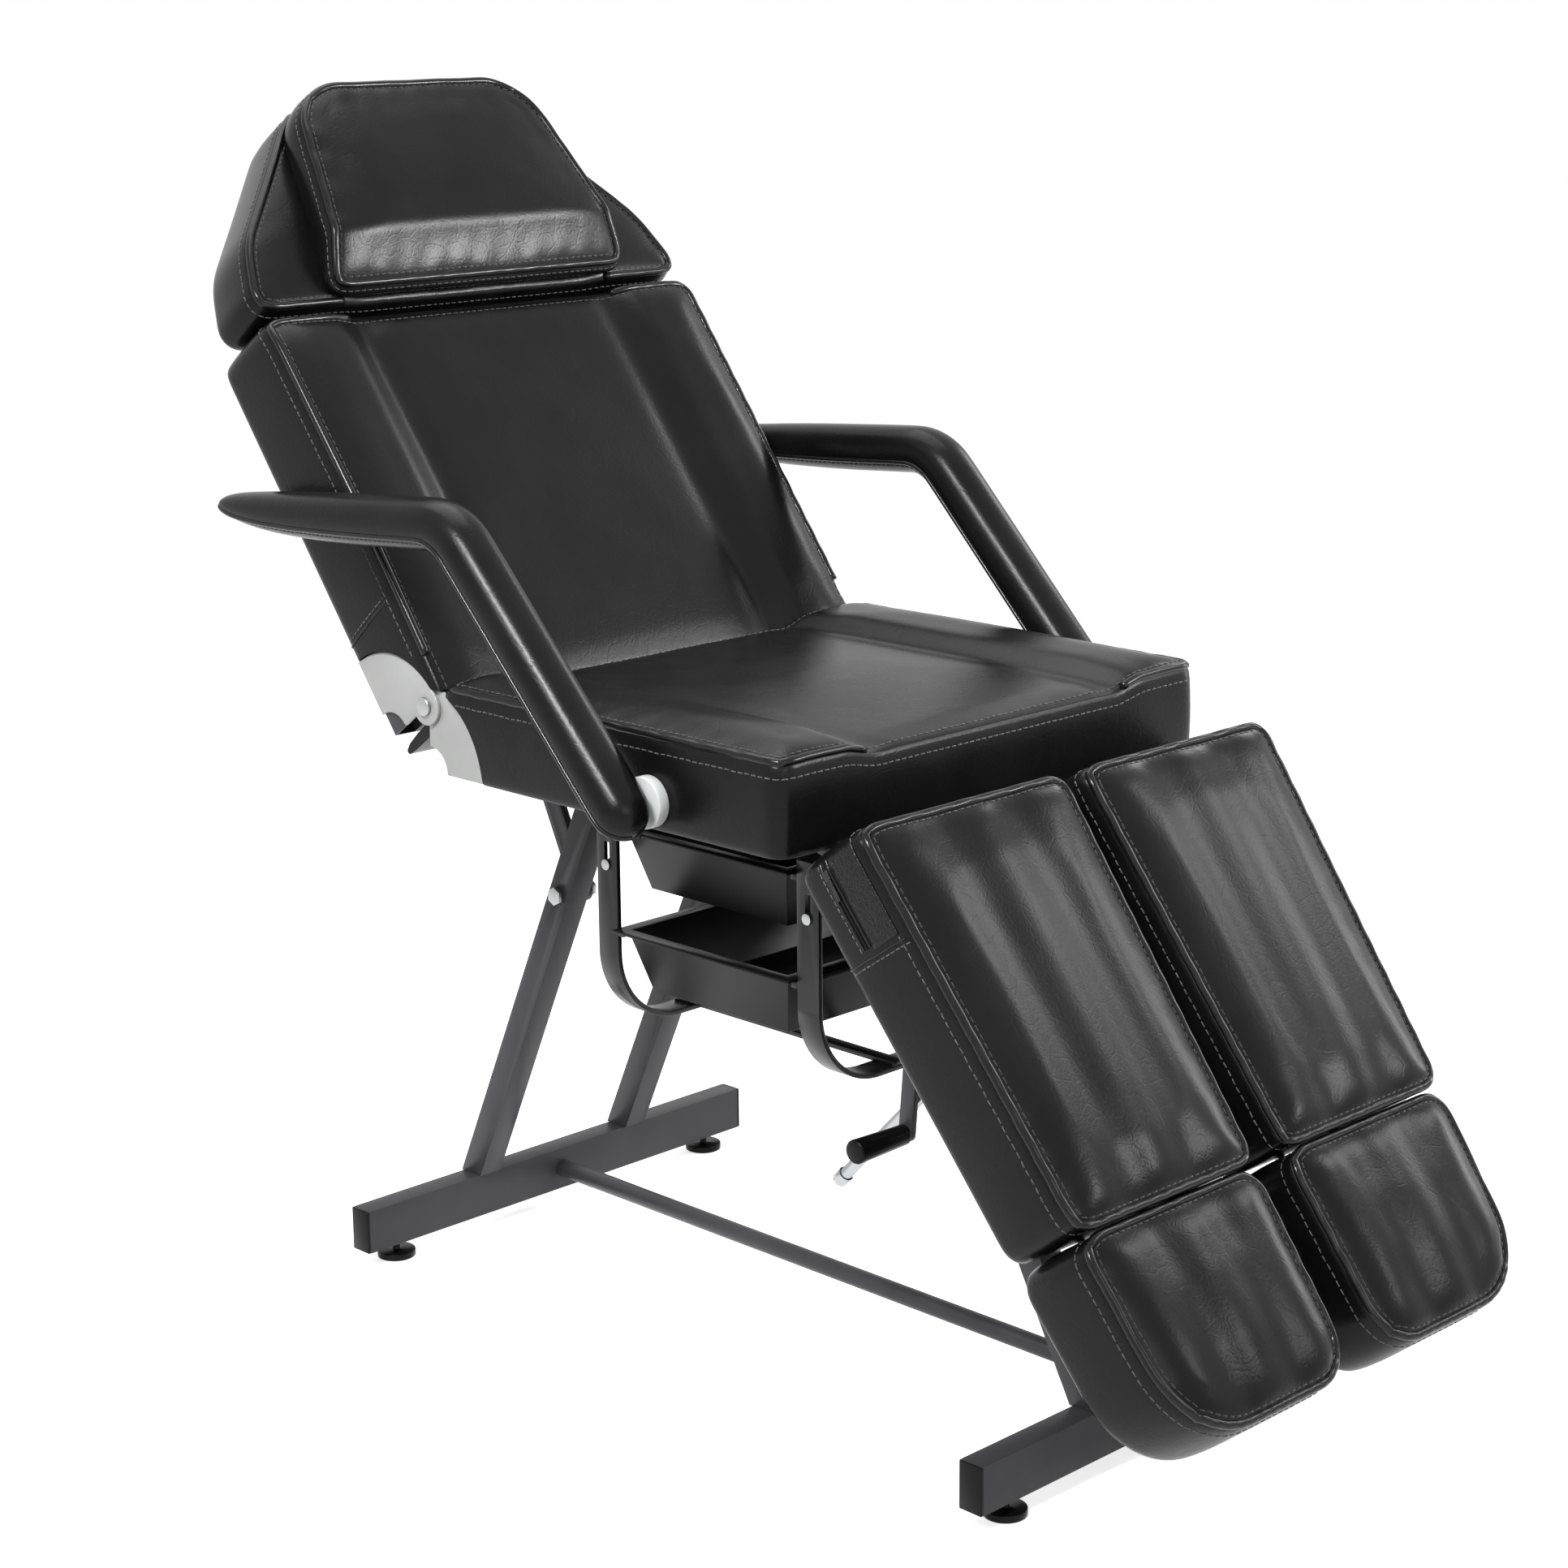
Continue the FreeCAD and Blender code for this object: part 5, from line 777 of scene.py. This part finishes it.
def sew_on(trims, body, hinge, degrees, other):
    """Lays trims given as (piece, name, finish, slot) in place, and their mirror images on the other body; the slot
    is not used.
    """
    for trim, name, finish, slot in trims:
        lay(trim, hinge, degrees)
        other_name = name.replace("left", "right")
        copy = mirrored(trim, other_name)
        dress(trim, name, body, finish)
        dress(copy, other_name, other, finish)
    print(body, "has", len(trims), "trims on each side")


print("trim tools are ready")

# %% [markdown]
# The seat and the back are one bed with two side bolsters: the foam is thicker for 83 mm at each side, and a soft
# slope leads down to the wide middle. The top rolls over into the seam at every edge. Near the seam the cover
# puckers a little where the thread pulls it, which a few sine waves along the edge give.


# %% The shape of the bed's top
def eased(amount):
    amount = np.clip(amount, 0, 1)
    return amount * amount * (3 - 2 * amount)


def rolled(distance, reach):
    """The quarter round from a seam up to the flat of the top: 0 at the seam, 1 past its reach."""
    return np.sqrt(1 - (1 - np.clip(distance / reach, 0, 1)) ** 2)


def puckers(x, y, distance, size=0.00035):
    wave = np.sin(x * 190 + np.sin(y * 61) * 2) + np.sin(y * 170 + np.sin(x * 47) * 2) + 0.6 * np.sin((x + y) * 330)
    return size * wave * np.exp(-distance / 0.020) * np.clip(distance / 0.006, 0, 1)


def hump(x, centre, wide, high):
    """A soft ridge along both sides of the bed."""
    return high * np.exp(-((np.abs(x) - centre) / wide) ** 2)


SEAM, ROLL_HIGH, ROLL_WIDE = 0.6475, 0.0075, 0.034
BOLSTER_INNER, BOLSTER_SLOPE, DISH = 0.205, 0.045, 0.013


def bed_top(x, y, distance):
    """The height of the bed's top, from its seam, rolled edge, crown, bolsters and the valleys beside them."""
    middle = eased((BOLSTER_INNER - np.abs(x)) / BOLSTER_SLOPE)
    valley = hump(x, 0.168, 0.018, 0.0035)
    over = rolled(distance, ROLL_WIDE)
    crown = 0.004 * np.clip(distance / 0.2, 0, 1)
    bolster = hump(x, 0.245, 0.028, 0.004) * over
    return (SEAM + ROLL_HIGH * over + crown + bolster - middle * DISH * (0.5 + 0.5 * over)
            - valley * over + puckers(x, y, distance))


HALF = 0.288
print("bed middle lies", DISH * 1000, "mm below the bolsters")

# %% [markdown]
# The seat: a square pad with rounded front corners. Its piping shows at the two front corners and along the sides,
# and between them the front is a plain seam, so the piping is kept only where the real one has it.

# %% Seat pad
LESS_BULGE = 0.0009
seat = sew_pad("seat_pad", [(-HALF, -0.485, 0.016, 1), (HALF, -0.485, 0.016, 1), (HALF, -0.0245, 0.006, 1),
                            (-HALF, -0.0245, 0.006, 1)], bed_top, BED_BOARD, bulge=LESS_BULGE)
PLATE_IN, PLATE_RADIUS = 0.2774, 0.0846
PLATE_NOTCH = ("round", 0.0, 0.562, PLATE_RADIUS, PLATE_RADIUS, PLATE_IN)
BUSH_HOLE = ("round", -0.322, 0.590, 0.0103, 0.0103, 0.26)
finish_pad(seat, "seat_pad", "base", "seat_cushion", None, 0,
           keep=lambda co: co.y < -0.036 and (co.y > -0.47 or abs(co.x) > 0.175),
           side_keep=lambda co: co.y < -0.045, holes=[PLATE_NOTCH, BUSH_HOLE])
print("seat notched for the plates and the armrest bushes")

# %% [markdown]
# The back has the same section, and its lower end is wrapped round the recline pivot, so that it rolls against the
# seat as it tilts. It is drawn unrolled, and then the lower end is wound round the pivot.

# %% Back pad
NOSE = 0.0225


def wrap_nose(points):
    """Winds what lies below the pivot round it."""
    points = points.copy()
    low = points[:, 1] < 0
    angle = -points[low, 1] / NOSE
    high = points[low, 2] - PIVOT[1]
    points[low, 1] = -NOSE * np.sin(angle)
    points[low, 2] = PIVOT[1] + high * np.cos(angle)
    return points


nose_end = -NOSE * math.pi / 2
BACK_TOP = [(HALF, 0.426, 0.016, 1), (-HALF, 0.426, 0.016, 1)]
SEWN_TOP = [(x - math.copysign(SHOULDER, x), y - SHOULDER, radius, 1) for x, y, radius, _ in BACK_TOP]
SEWN_HALF = HALF - SHOULDER
back = sew_pad("back_pad", [(-HALF, -NOSE, 0.002, 1), (HALF, -NOSE, 0.002, 1)] + BACK_TOP, bed_top, BED_BOARD,
               top_plan=[(-SEWN_HALF, nose_end, 0.002, 1), (SEWN_HALF, nose_end, 0.002, 1)] + SEWN_TOP,
               bulge=LESS_BULGE, open_side=0, wrap=wrap_nose)
sew_on([(ridge(back, (HALF, 0.100, 0.5630), (HALF, 0.108, 0.6400)), "back_left_cross_seam", piping_leather,
         "pu_leather"),
        (stitches(back, (HALF, 0.105, 0.5640), (HALF, 0.113, 0.6390)), "back_left_cross_stitches", thread,
         "pu_leather")], "backrest", PIVOT, TILT, "backrest")
finish_pad(back, "back_pad", "backrest", "back_cushion", PIVOT, TILT,
           keep=lambda co: co.y > 0.036 and (co.y < 0.41 or abs(co.x) > 0.175), side_keep=lambda co: co.y > 0.045,
           holes=[PLATE_NOTCH, ("square", -0.0187, 0.60, 0.02, 0.06, PLATE_IN),
                  ("round", *PIVOT, 0.0196, 0.0196, PLATE_IN),
                  ("round", -0.0519, 0.5879, PLATE_RADIUS, PLATE_RADIUS, PLATE_IN)])

# %% [markdown]
# The head section narrows in two soft steps to a round top. Its middle dips less than the bed's, so only the
# height of its top is written anew.

# %% Head pad
HEAD_PLAN = [(-0.290, 0.4333, 0.020, 1), (0.290, 0.4333, 0.020, 1), (0.264, 0.514, 0.12, 0), (0.205, 0.585, 0.10, 0),
             (0.135, 0.671, 0.05, 1), (-0.135, 0.671, 0.05, 1), (-0.205, 0.585, 0.10, 0), (-0.264, 0.514, 0.12, 0)]


def head_top(x, y, distance):
    over = rolled(distance, ROLL_WIDE)
    middle = eased((BOLSTER_INNER - 0.02 - np.abs(x)) / BOLSTER_SLOPE)
    return SEAM + 0.005 * over - middle * 0.007 * (0.5 + 0.5 * over) + puckers(x, y, distance)


head = sew_pad("head_pad", HEAD_PLAN, head_top, BED_BOARD, floor=0.572)
finish_pad(head, "head_pad", "head_section", "head_cushion", PIVOT, TILT,
           keep=lambda co: co.y > 0.447 or abs(co.x) > 0.175)

# %% [markdown]
# The pillow is a flat cushion that lies on the head section. Its lower edge is a wide bevel, so that it can tuck
# under the neck. It has its own underside, so it needs no hem.

# %% Pillow
PILLOW_PLAN = [(-0.198, 0.441, 0.016, 1), (0.198, 0.441, 0.016, 1), (0.152, 0.673, 0.070, 1),
               (-0.152, 0.673, 0.070, 1)]


def pillow_top(x, y, distance):
    over = rolled(distance, 0.020)
    bevel = np.clip((y - 0.441) / 0.055, 0, 1)
    body = 0.662 + 0.026 * bevel
    return body + 0.004 * over + 0.004 * np.clip(distance / 0.1, 0, 1) * bevel + puckers(x, y, distance, 0.0005)


pillow = sew_pad("head_pillow_pad", PILLOW_PLAN, pillow_top, 0.0, floor=0.6505, skirt=False, spacing=0.008)
finish_pad(pillow, "head_pillow_pad", "head_section", "head_pillow", PIVOT, TILT)

# %% [markdown]
# The leg rests are two long pads side by side. Each is stuffed in three lengthwise rolls, with two shallow channels
# between them, and it narrows slightly towards the foot. The left pads are sewn, and the right ones are their
# mirror images.


# %% Leg pad
LEG_ENDS, FOOT_ENDS = (-0.874, -0.491), (-1.077, -0.884)


def split_top(inner, outer, ends, low=0.0):
    """The top of a pad between x = inner and outer, each given at the lower and the upper end."""
    def shape(x, y, distance):
        share = np.clip((y - ends[0]) / (ends[1] - ends[0]), 0, 1)
        left = inner[0] + (inner[1] - inner[0]) * share
        wide = outer[0] + (outer[1] - outer[0]) * share - left
        across = (x - left) / wide
        over = rolled(distance, 0.030)
        rolls = 0.5 - 0.5 * np.cos(2 * np.pi * 3 * np.clip(across, 0, 1))
        return (SEAM - low + 0.0075 * over + 0.0034 * rolls * over + 0.002 * np.clip(distance / 0.1, 0, 1)
                + puckers(x, y, distance))
    return shape


leg = sew_pad("left_leg_pad", [(0.020, -0.8765, 0.014, 1), (0.262, -0.8765, 0.020, 1), (0.282, -0.491, 0.015, 1),
                               (0.012, -0.491, 0.015, 1)],
              split_top((0.020, 0.012), (0.262, 0.282), LEG_ENDS), LEG_BOARD, spacing=0.008,
              top_plan=[(0.025, -0.8757, 0.014, 1), (0.257, -0.8757, 0.020, 1), (0.277, -0.496, 0.015, 1),
                        (0.017, -0.496, 0.015, 1)])

# %% [markdown]
# On the outer side of each leg cover, near the knee, a zip lets the cover be drawn over its foam. A pebbled panel
# lies above it, and a cross seam closes both off. The teeth are one row of short capsules, like the stitches.


# %% The zip and the seams of the leg cover
def outer_x(y):
    """The outer side of the leg pad, which tapers towards the foot."""
    return 0.262 + 0.020 * (y + 0.8765) / 0.3855


def side_line(y_start, z_start, y_end, z_end):
    return (outer_x(y_start), y_start, z_start), (outer_x(y_end), y_end, z_end)


def zip_line(above):
    return side_line(-0.499, ZIP_HIGH + above, -0.583, ZIP_HIGH + above)


def on_zip(y, lift, sides, bevel):
    return block(settle(leg, [(outer_x(y), y, ZIP_HIGH)], lift)[0], sides, bevel)


ZIP_HIGH, LIP, STITCH_ROW = 0.5965, 0.0042, 0.0080
CROSS_SEAM = side_line(-0.590, 0.5640, -0.594, 0.6400)
CROSS_STITCHES = side_line(-0.595, 0.5640, -0.599, 0.6400)
PANEL = (outer_x(-0.496), -0.588, 0.6045), (outer_x(-0.588), -0.497, 0.6365)
moulded, painted = FINISHES["black_plastic"], FINISHES["black_paint"]
zip_trims = [
    (stitch_along(across(leg, *zip_line(0), lift=0.0004), 0.0010, 0.0021, 0.0013), "zip_teeth", moulded),
    (ridge(leg, *zip_line(LIP), radius=0.0013), "zip_upper_lip", piping_leather),
    (ridge(leg, *zip_line(-LIP), radius=0.0013), "zip_lower_lip", piping_leather),
    (stitches(leg, *zip_line(-STITCH_ROW)), "zip_stitches", thread),
    (on_zip(-0.512, 0.0014, (0.0032, 0.0095, 0.0062), 0.0011), "zip_slider", painted),
    (on_zip(-0.526, 0.0022, (0.0012, 0.0210, 0.0042), 0.0005), "zip_puller", painted),
    (patch(leg, *PANEL, 0.0005, 0.0007), "pebbled_panel", pebbled_leather),
    (ridge(leg, *CROSS_SEAM), "cross_seam", piping_leather),
    (stitches(leg, *CROSS_STITCHES), "cross_stitches", thread)]
sew_on([(trim, f"left_leg_{name}", finish, "black_plastic" if finish in (moulded, painted) else "pu_leather")
        for trim, name, finish in zip_trims], "left_leg", LEG_HINGE, TILT, "right_leg")
finish_pad(leg, "left_leg_pad", "left_leg", "left_leg_cushion", LEG_HINGE, TILT,
           mirror_to=("right_leg_pad", "right_leg", "right_leg_cushion"))

# %% [markdown]
# The foot pads slide out from the leg rests on rods. They are stuffed alike, and their outer lower corners are cut
# round.

# %% Foot pad
foot = sew_pad("left_foot_pad", [(0.024, -1.077, 0.050, 1), (0.250, -1.077, 0.085, 1), (0.262, -0.8815, 0.024, 1),
                                 (0.020, -0.8815, 0.024, 1)],
               split_top((0.024, 0.020), (0.250, 0.262), FOOT_ENDS, 0.004), LEG_BOARD, spacing=0.008,
               top_plan=[(0.029, -1.072, 0.045, 1), (0.245, -1.072, 0.080, 1), (0.257, -0.8823, 0.022, 1),
                         (0.025, -0.8823, 0.022, 1)])
finish_pad(foot, "left_foot_pad", "left_foot", "left_foot_cushion", LEG_HINGE, TILT,
           mirror_to=("right_foot_pad", "right_foot", "right_foot_cushion"))

# %% [markdown]
# An armrest is a bent steel bar in a foam sleeve. Its middle line rises from the pivot at 46 degrees, turns over an
# elbow and ends in a long tip that falls a little. Stations along it say how full the sleeve is there.

# %% The line of an armrest
ARM_X, ARM_Y, ARM_Z = 0.327, -0.322 + SHIFT, 0.590
RISE, FALL, BEND = math.radians(46), math.radians(4), 0.062
LOWER_RUN, UPPER_RUN = (whole - BEND * math.tan((RISE + FALL) / 2) for whole in (0.318, 0.352))
BEND_RUN = BEND * (RISE + FALL)


def arm_line(distance):
    """The point and the heading of the armrest's middle line."""
    start, rising = np.array((ARM_Y, ARM_Z)), np.array((math.cos(RISE), math.sin(RISE)))
    if distance <= LOWER_RUN:
        return start + distance * rising, RISE
    centre = start + LOWER_RUN * rising + BEND * np.array((math.sin(RISE), -math.cos(RISE)))
    heading = RISE - min(distance - LOWER_RUN, BEND_RUN) / BEND
    point = centre + BEND * np.array((-math.sin(heading), math.cos(heading)))
    left_over = max(0.0, distance - LOWER_RUN - BEND_RUN)
    return point + left_over * np.array((math.cos(heading), math.sin(heading))), heading


ARM_STATIONS = [(-0.030 * math.cos(angle), max(0.08, math.sin(angle)), 0) for angle in np.radians(range(6, 91, 12))]
ARM_STATIONS += [(LOWER_RUN * s, 1.0, 0) for s in (0.2, 0.4, 0.6, 0.8, 1.0)]
ARM_STATIONS += [(LOWER_RUN + BEND_RUN * s, 1.0, 0) for s in (0.17, 0.33, 0.5, 0.67, 0.83, 1.0)]
ARM_STATIONS += [(LOWER_RUN + BEND_RUN + UPPER_RUN * s, w, lift) for s, w, lift in
                 ((0.15, 1.0, 0), (0.3, 0.99, 0), (0.45, 0.96, 0.0005), (0.6, 0.9, 0.001), (0.75, 0.8, 0.002),
                  (0.87, 0.66, 0.004), (0.94, 0.5, 0.006), (0.98, 0.33, 0.008), (1.0, 0.12, 0.009))]
print("armrest line is", round(LOWER_RUN + BEND_RUN + UPPER_RUN, 3), "m long")

# %% [markdown]
# The sleeve is an oval ring, extruded from station to station. Its seams and stitches run along it, so the points
# that they follow are noted while it grows.


# %% Armrest pads
AROUND = 28


def arm_ring(station):
    """The oval section at a station given as (distance along the line, share of the full section, lift)."""
    distance, share, lift = station
    (y, z), heading = arm_line(distance)
    angle = np.linspace(0, 2 * math.pi, AROUND, endpoint=False)
    across = 0.026 * (0.35 + 0.65 * share if distance > LOWER_RUN + BEND_RUN else share)
    wide = across * np.sign(np.cos(angle)) * np.abs(np.cos(angle)) ** 0.9
    deep = 0.025 * share * np.sign(np.sin(angle)) * np.abs(np.sin(angle)) ** 0.9 + lift
    return np.stack([ARM_X + wide, y - deep * math.sin(heading), z + deep * math.cos(heading)], axis=1)


ARM_PIPE_RADIUS = 0.0024
ARM_LINES = {"seam_outer": 26, "seam_inner": 16, "stitch_outer": 25, "stitch_inner": 17}


def build_arm(name):
    piece = made_by(bpy.ops.mesh.primitive_circle_add, vertices=AROUND, radius=1, fill_type="NGON")
    piece.name = name
    write_points(piece, arm_ring(ARM_STATIONS[0]))
    edit(piece, (bpy.ops.mesh.select_mode, {"type": "FACE"}))
    ring = np.arange(AROUND)
    seam_lines = {label: [ring[at]] for label, at in ARM_LINES.items()}
    for station in ARM_STATIONS[1:]:
        points, ring = extruded(piece, bpy.ops.mesh.extrude_region_move, 0.5, read_points(piece)[ring])
        points[ring] = arm_ring(station)
        write_points(piece, points)
        for label, at in ARM_LINES.items():
            seam_lines[label].append(ring[at])
    for line_name, indices in seam_lines.items():
        group_of(piece, line_name, indices)
    edit(piece, (bpy.ops.mesh.select_mode, {"type": "FACE"}), FACE_OUT)
    modify(piece, "SUBSURF", levels=2, render_levels=2)
    bpy.ops.object.shade_smooth()
    return piece


def finish_arm(piece, name, finish):
    """The same piece on both armrests."""
    for copy, side in ((piece, "left"), (mirrored(piece, f"right_{name}"), "right")):
        dress(copy, f"{side}_{name}", f"{side}_armrest", finish)
        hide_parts(f"{side}_armrest_pad")


left_arm = build_arm("left_armrest_cover")
arm_piping = [as_tube(loop_curve(left_arm, f"seam_{side}"), ARM_PIPE_RADIUS) for side in ("outer", "inner")]
arm_rows = [stitch_along(loop_curve(left_arm, f"stitch_{side}"), **SMALL_STITCH) for side in ("outer", "inner")]
finish_arm(left_arm, "armrest_cover", leather)
for lines, name, finish in ((arm_piping, "piping", piping_leather), (arm_rows, "stitches", thread)):
    for line, side in zip(lines, ("outer", "inner")):
        finish_arm(line, f"armrest_{side}_{name}", finish)
print("armrests have", len(left_arm.data.vertices), "points each")

# %% [markdown]
# Steel and plastic never have knife edges. Tubes are drawn with round corners, plates are tumbled, and moulded
# pieces have a radius everywhere. Each rigid node is copied, its loose triangles are merged and flat faces joined,
# and a Bevel modifier rounds every corner by the amount that its making gives.


# %% Softened copies of the rigid pieces
def soften(node, width):
    """A copy of a frame node with merged points and rounded edges, in the node's own finish."""
    source = frame["nodes"][node]
    piece = source.copy()
    piece.data = source.data.copy()
    piece.parent = None
    piece.matrix_world = source.matrix_world.copy()
    bpy.context.scene.collection.objects.link(piece)
    piece.hide_render = piece.hide_viewport = False
    set_in_place(piece)
    edit(piece, MERGE, (bpy.ops.mesh.dissolve_limited, {"angle_limit": math.radians(0.8)}))
    modify(piece, "BEVEL", width=width, segments=2, limit_method="ANGLE", angle_limit=math.radians(30),
           use_clamp_overlap=True)
    bpy.ops.object.shade_smooth_by_angle(angle=math.radians(35))
    dress(piece, f"{node}_finished", BODY_OF[node], FINISHES[SLOT_OF[node]])
    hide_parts(node)
    return piece


EDGES = {
    "rear_foot_beam": 0.0022, "front_foot_beam": 0.0022, "beam_end_caps": 0.0012, "stand_legs": 0.0022,
    "seat_hinge_plates": 0.0007, "back_hinge_plates": 0.0007, "tray_hangers": 0.0007, "upper_tray": 0.0008,
    "lower_tray": 0.0008, "seat_frame": 0.0018, "back_frame": 0.0018, "rack_plates": 0.0005, "back_prop": 0.0008,
    "release_lever": 0.0008, "release_grip": 0.002, "recline_pins": 0.0008, "armrest_spacers": 0.0012,
    "frame_bolts": 0.0005, "tray_rails": 0.0006, "stretcher_tube": 0.0008,
}
for side in ("left", "right"):
    EDGES.update({f"{side}_lock_lever": 0.0006, f"{side}_lock_grip": 0.002, f"{side}_lock_rod": 0.0006,
                  f"{side}_lock_collar": 0.0006, f"{side}_leg_frame": 0.0015, f"{side}_foot_rods": 0.0006,
                  f"levelling_foot_front_{side}": 0.0008, f"levelling_foot_rear_{side}": 0.0008})
for node, width in EDGES.items():
    softened = soften(node, width)
    print(node, len(softened.data.polygons), end="; ")

# %% [markdown]
# A photographer's studio: a pale floor, a white surround that only the camera and reflections see as pure white,
# and large soft lamps. Large lamps give black leather the broad, soft highlights of the photograph.


# %% Floor and surround
def seen_directly(material):
    """1 for the rays that see the backdrop itself: the camera's, reflected ones and those through glass."""
    rays = add(material, "ShaderNodeLightPath").outputs
    seen = rays["Is Camera Ray"]
    for kind in ("Is Glossy Ray", "Is Transmission Ray"):
        seen = add(material, "ShaderNodeMath", {"operation": "MAXIMUM"}, i0=seen, i1=rays[kind]).outputs[0]
    return seen


FLOOR_GLOW, SURROUND_LIGHT = 0.70, 0.35
floor = made_by(bpy.ops.mesh.primitive_plane_add, size=30, location=(0, 0, -0.0005))
floor.name = "studio_floor"
paper, paper_shader, _ = new_material("studio_paper", Base_Color=colour("f4f4f4"), Roughness=0.9,
                                      Specular_IOR_Level=0.0)
lift = add(paper, "ShaderNodeMapRange", {"To Min": 0.0, "To Max": FLOOR_GLOW}, Value=seen_directly(paper))
glow = add(paper, "ShaderNodeEmission", {"Color": (1, 1, 1, 1)}, Strength=lift.outputs[0])
both = add(paper, "ShaderNodeAddShader", i0=paper_shader.outputs[0], i1=glow.outputs[0])
plug(paper.node_tree.nodes["Material Output"], Surface=both.outputs[0])
floor.data.materials.append(paper)

world = bpy.data.worlds.new("studio_surround")
bpy.context.scene.world = world
world.use_nodes = True
backdrop = world.node_tree.nodes["Background"]
white = add(world, "ShaderNodeMapRange", {"To Min": SURROUND_LIGHT, "To Max": 1.0}, Value=seen_directly(world))
backdrop.inputs["Color"].default_value = (1, 1, 1, 1)
plug(backdrop, Strength=white.outputs[0])
print("floor and surround are white")

# %% [markdown]
# Each lamp stands where the photo's highlights mirror the camera. Two have a grid, which keeps their light on the
# pillow and on the armrests.


# %% Lamps
def lamp(name, location, target, wide, high, power, grid=180):
    """A soft box at a place, turned to a target, with its size in metres, its power in watts and its spread."""
    light = made_by(bpy.ops.object.light_add, type="AREA", location=location)
    light.name = name
    light.data.shape = "RECTANGLE"
    light.data.size, light.data.size_y = wide, high
    light.data.energy = power
    light.data.spread = math.radians(grid)
    light.rotation_euler = (Vector(target) - Vector(location)).to_track_quat("-Z", "Y").to_euler()


lamp("left_softbox", (-2.5, -0.3, 2.7), (0, 0.1, 0.7), 1.2, 1.0, 36)
lamp("arm_softbox", (-2.2, -0.75, 2.85), (-0.3, -0.1, 0.8), 0.9, 0.3, 6, grid=40)
lamp("top_softbox", (0.2, 0.9, 3.0), (0, 0, 0.5), 2.0, 2.0, 32)
lamp("front_right_softbox", (2.1, -1.6, 2.1), (0, -0.1, 0.7), 0.9, 0.6, 10)
lamp("far_right_softbox", (3.0, -3.7, 2.3), (0, 0.75, 1.15), 1.1, 0.7, 8, grid=36)
lamp("leg_softbox", (3.0, -2.0, 2.5), (0.1, -0.3, 0.55), 0.8, 0.5, 7)
lamp("side_right_softbox", (2.6, 0.15, 2.0), (-0.15, 0.45, 0.8), 0.5, 0.8, 9)
lamp("low_right_strip", (2.4, -1.0, 1.0), (0, 0.1, 0.7), 0.4, 1.2, 10)
lamp("front_fill", (-1.0, -3.4, 1.8), (0, 0, 0.5), 2.0, 1.2, 18)
bpy.context.scene.view_settings.view_transform = "Standard"
print("nine softboxes")
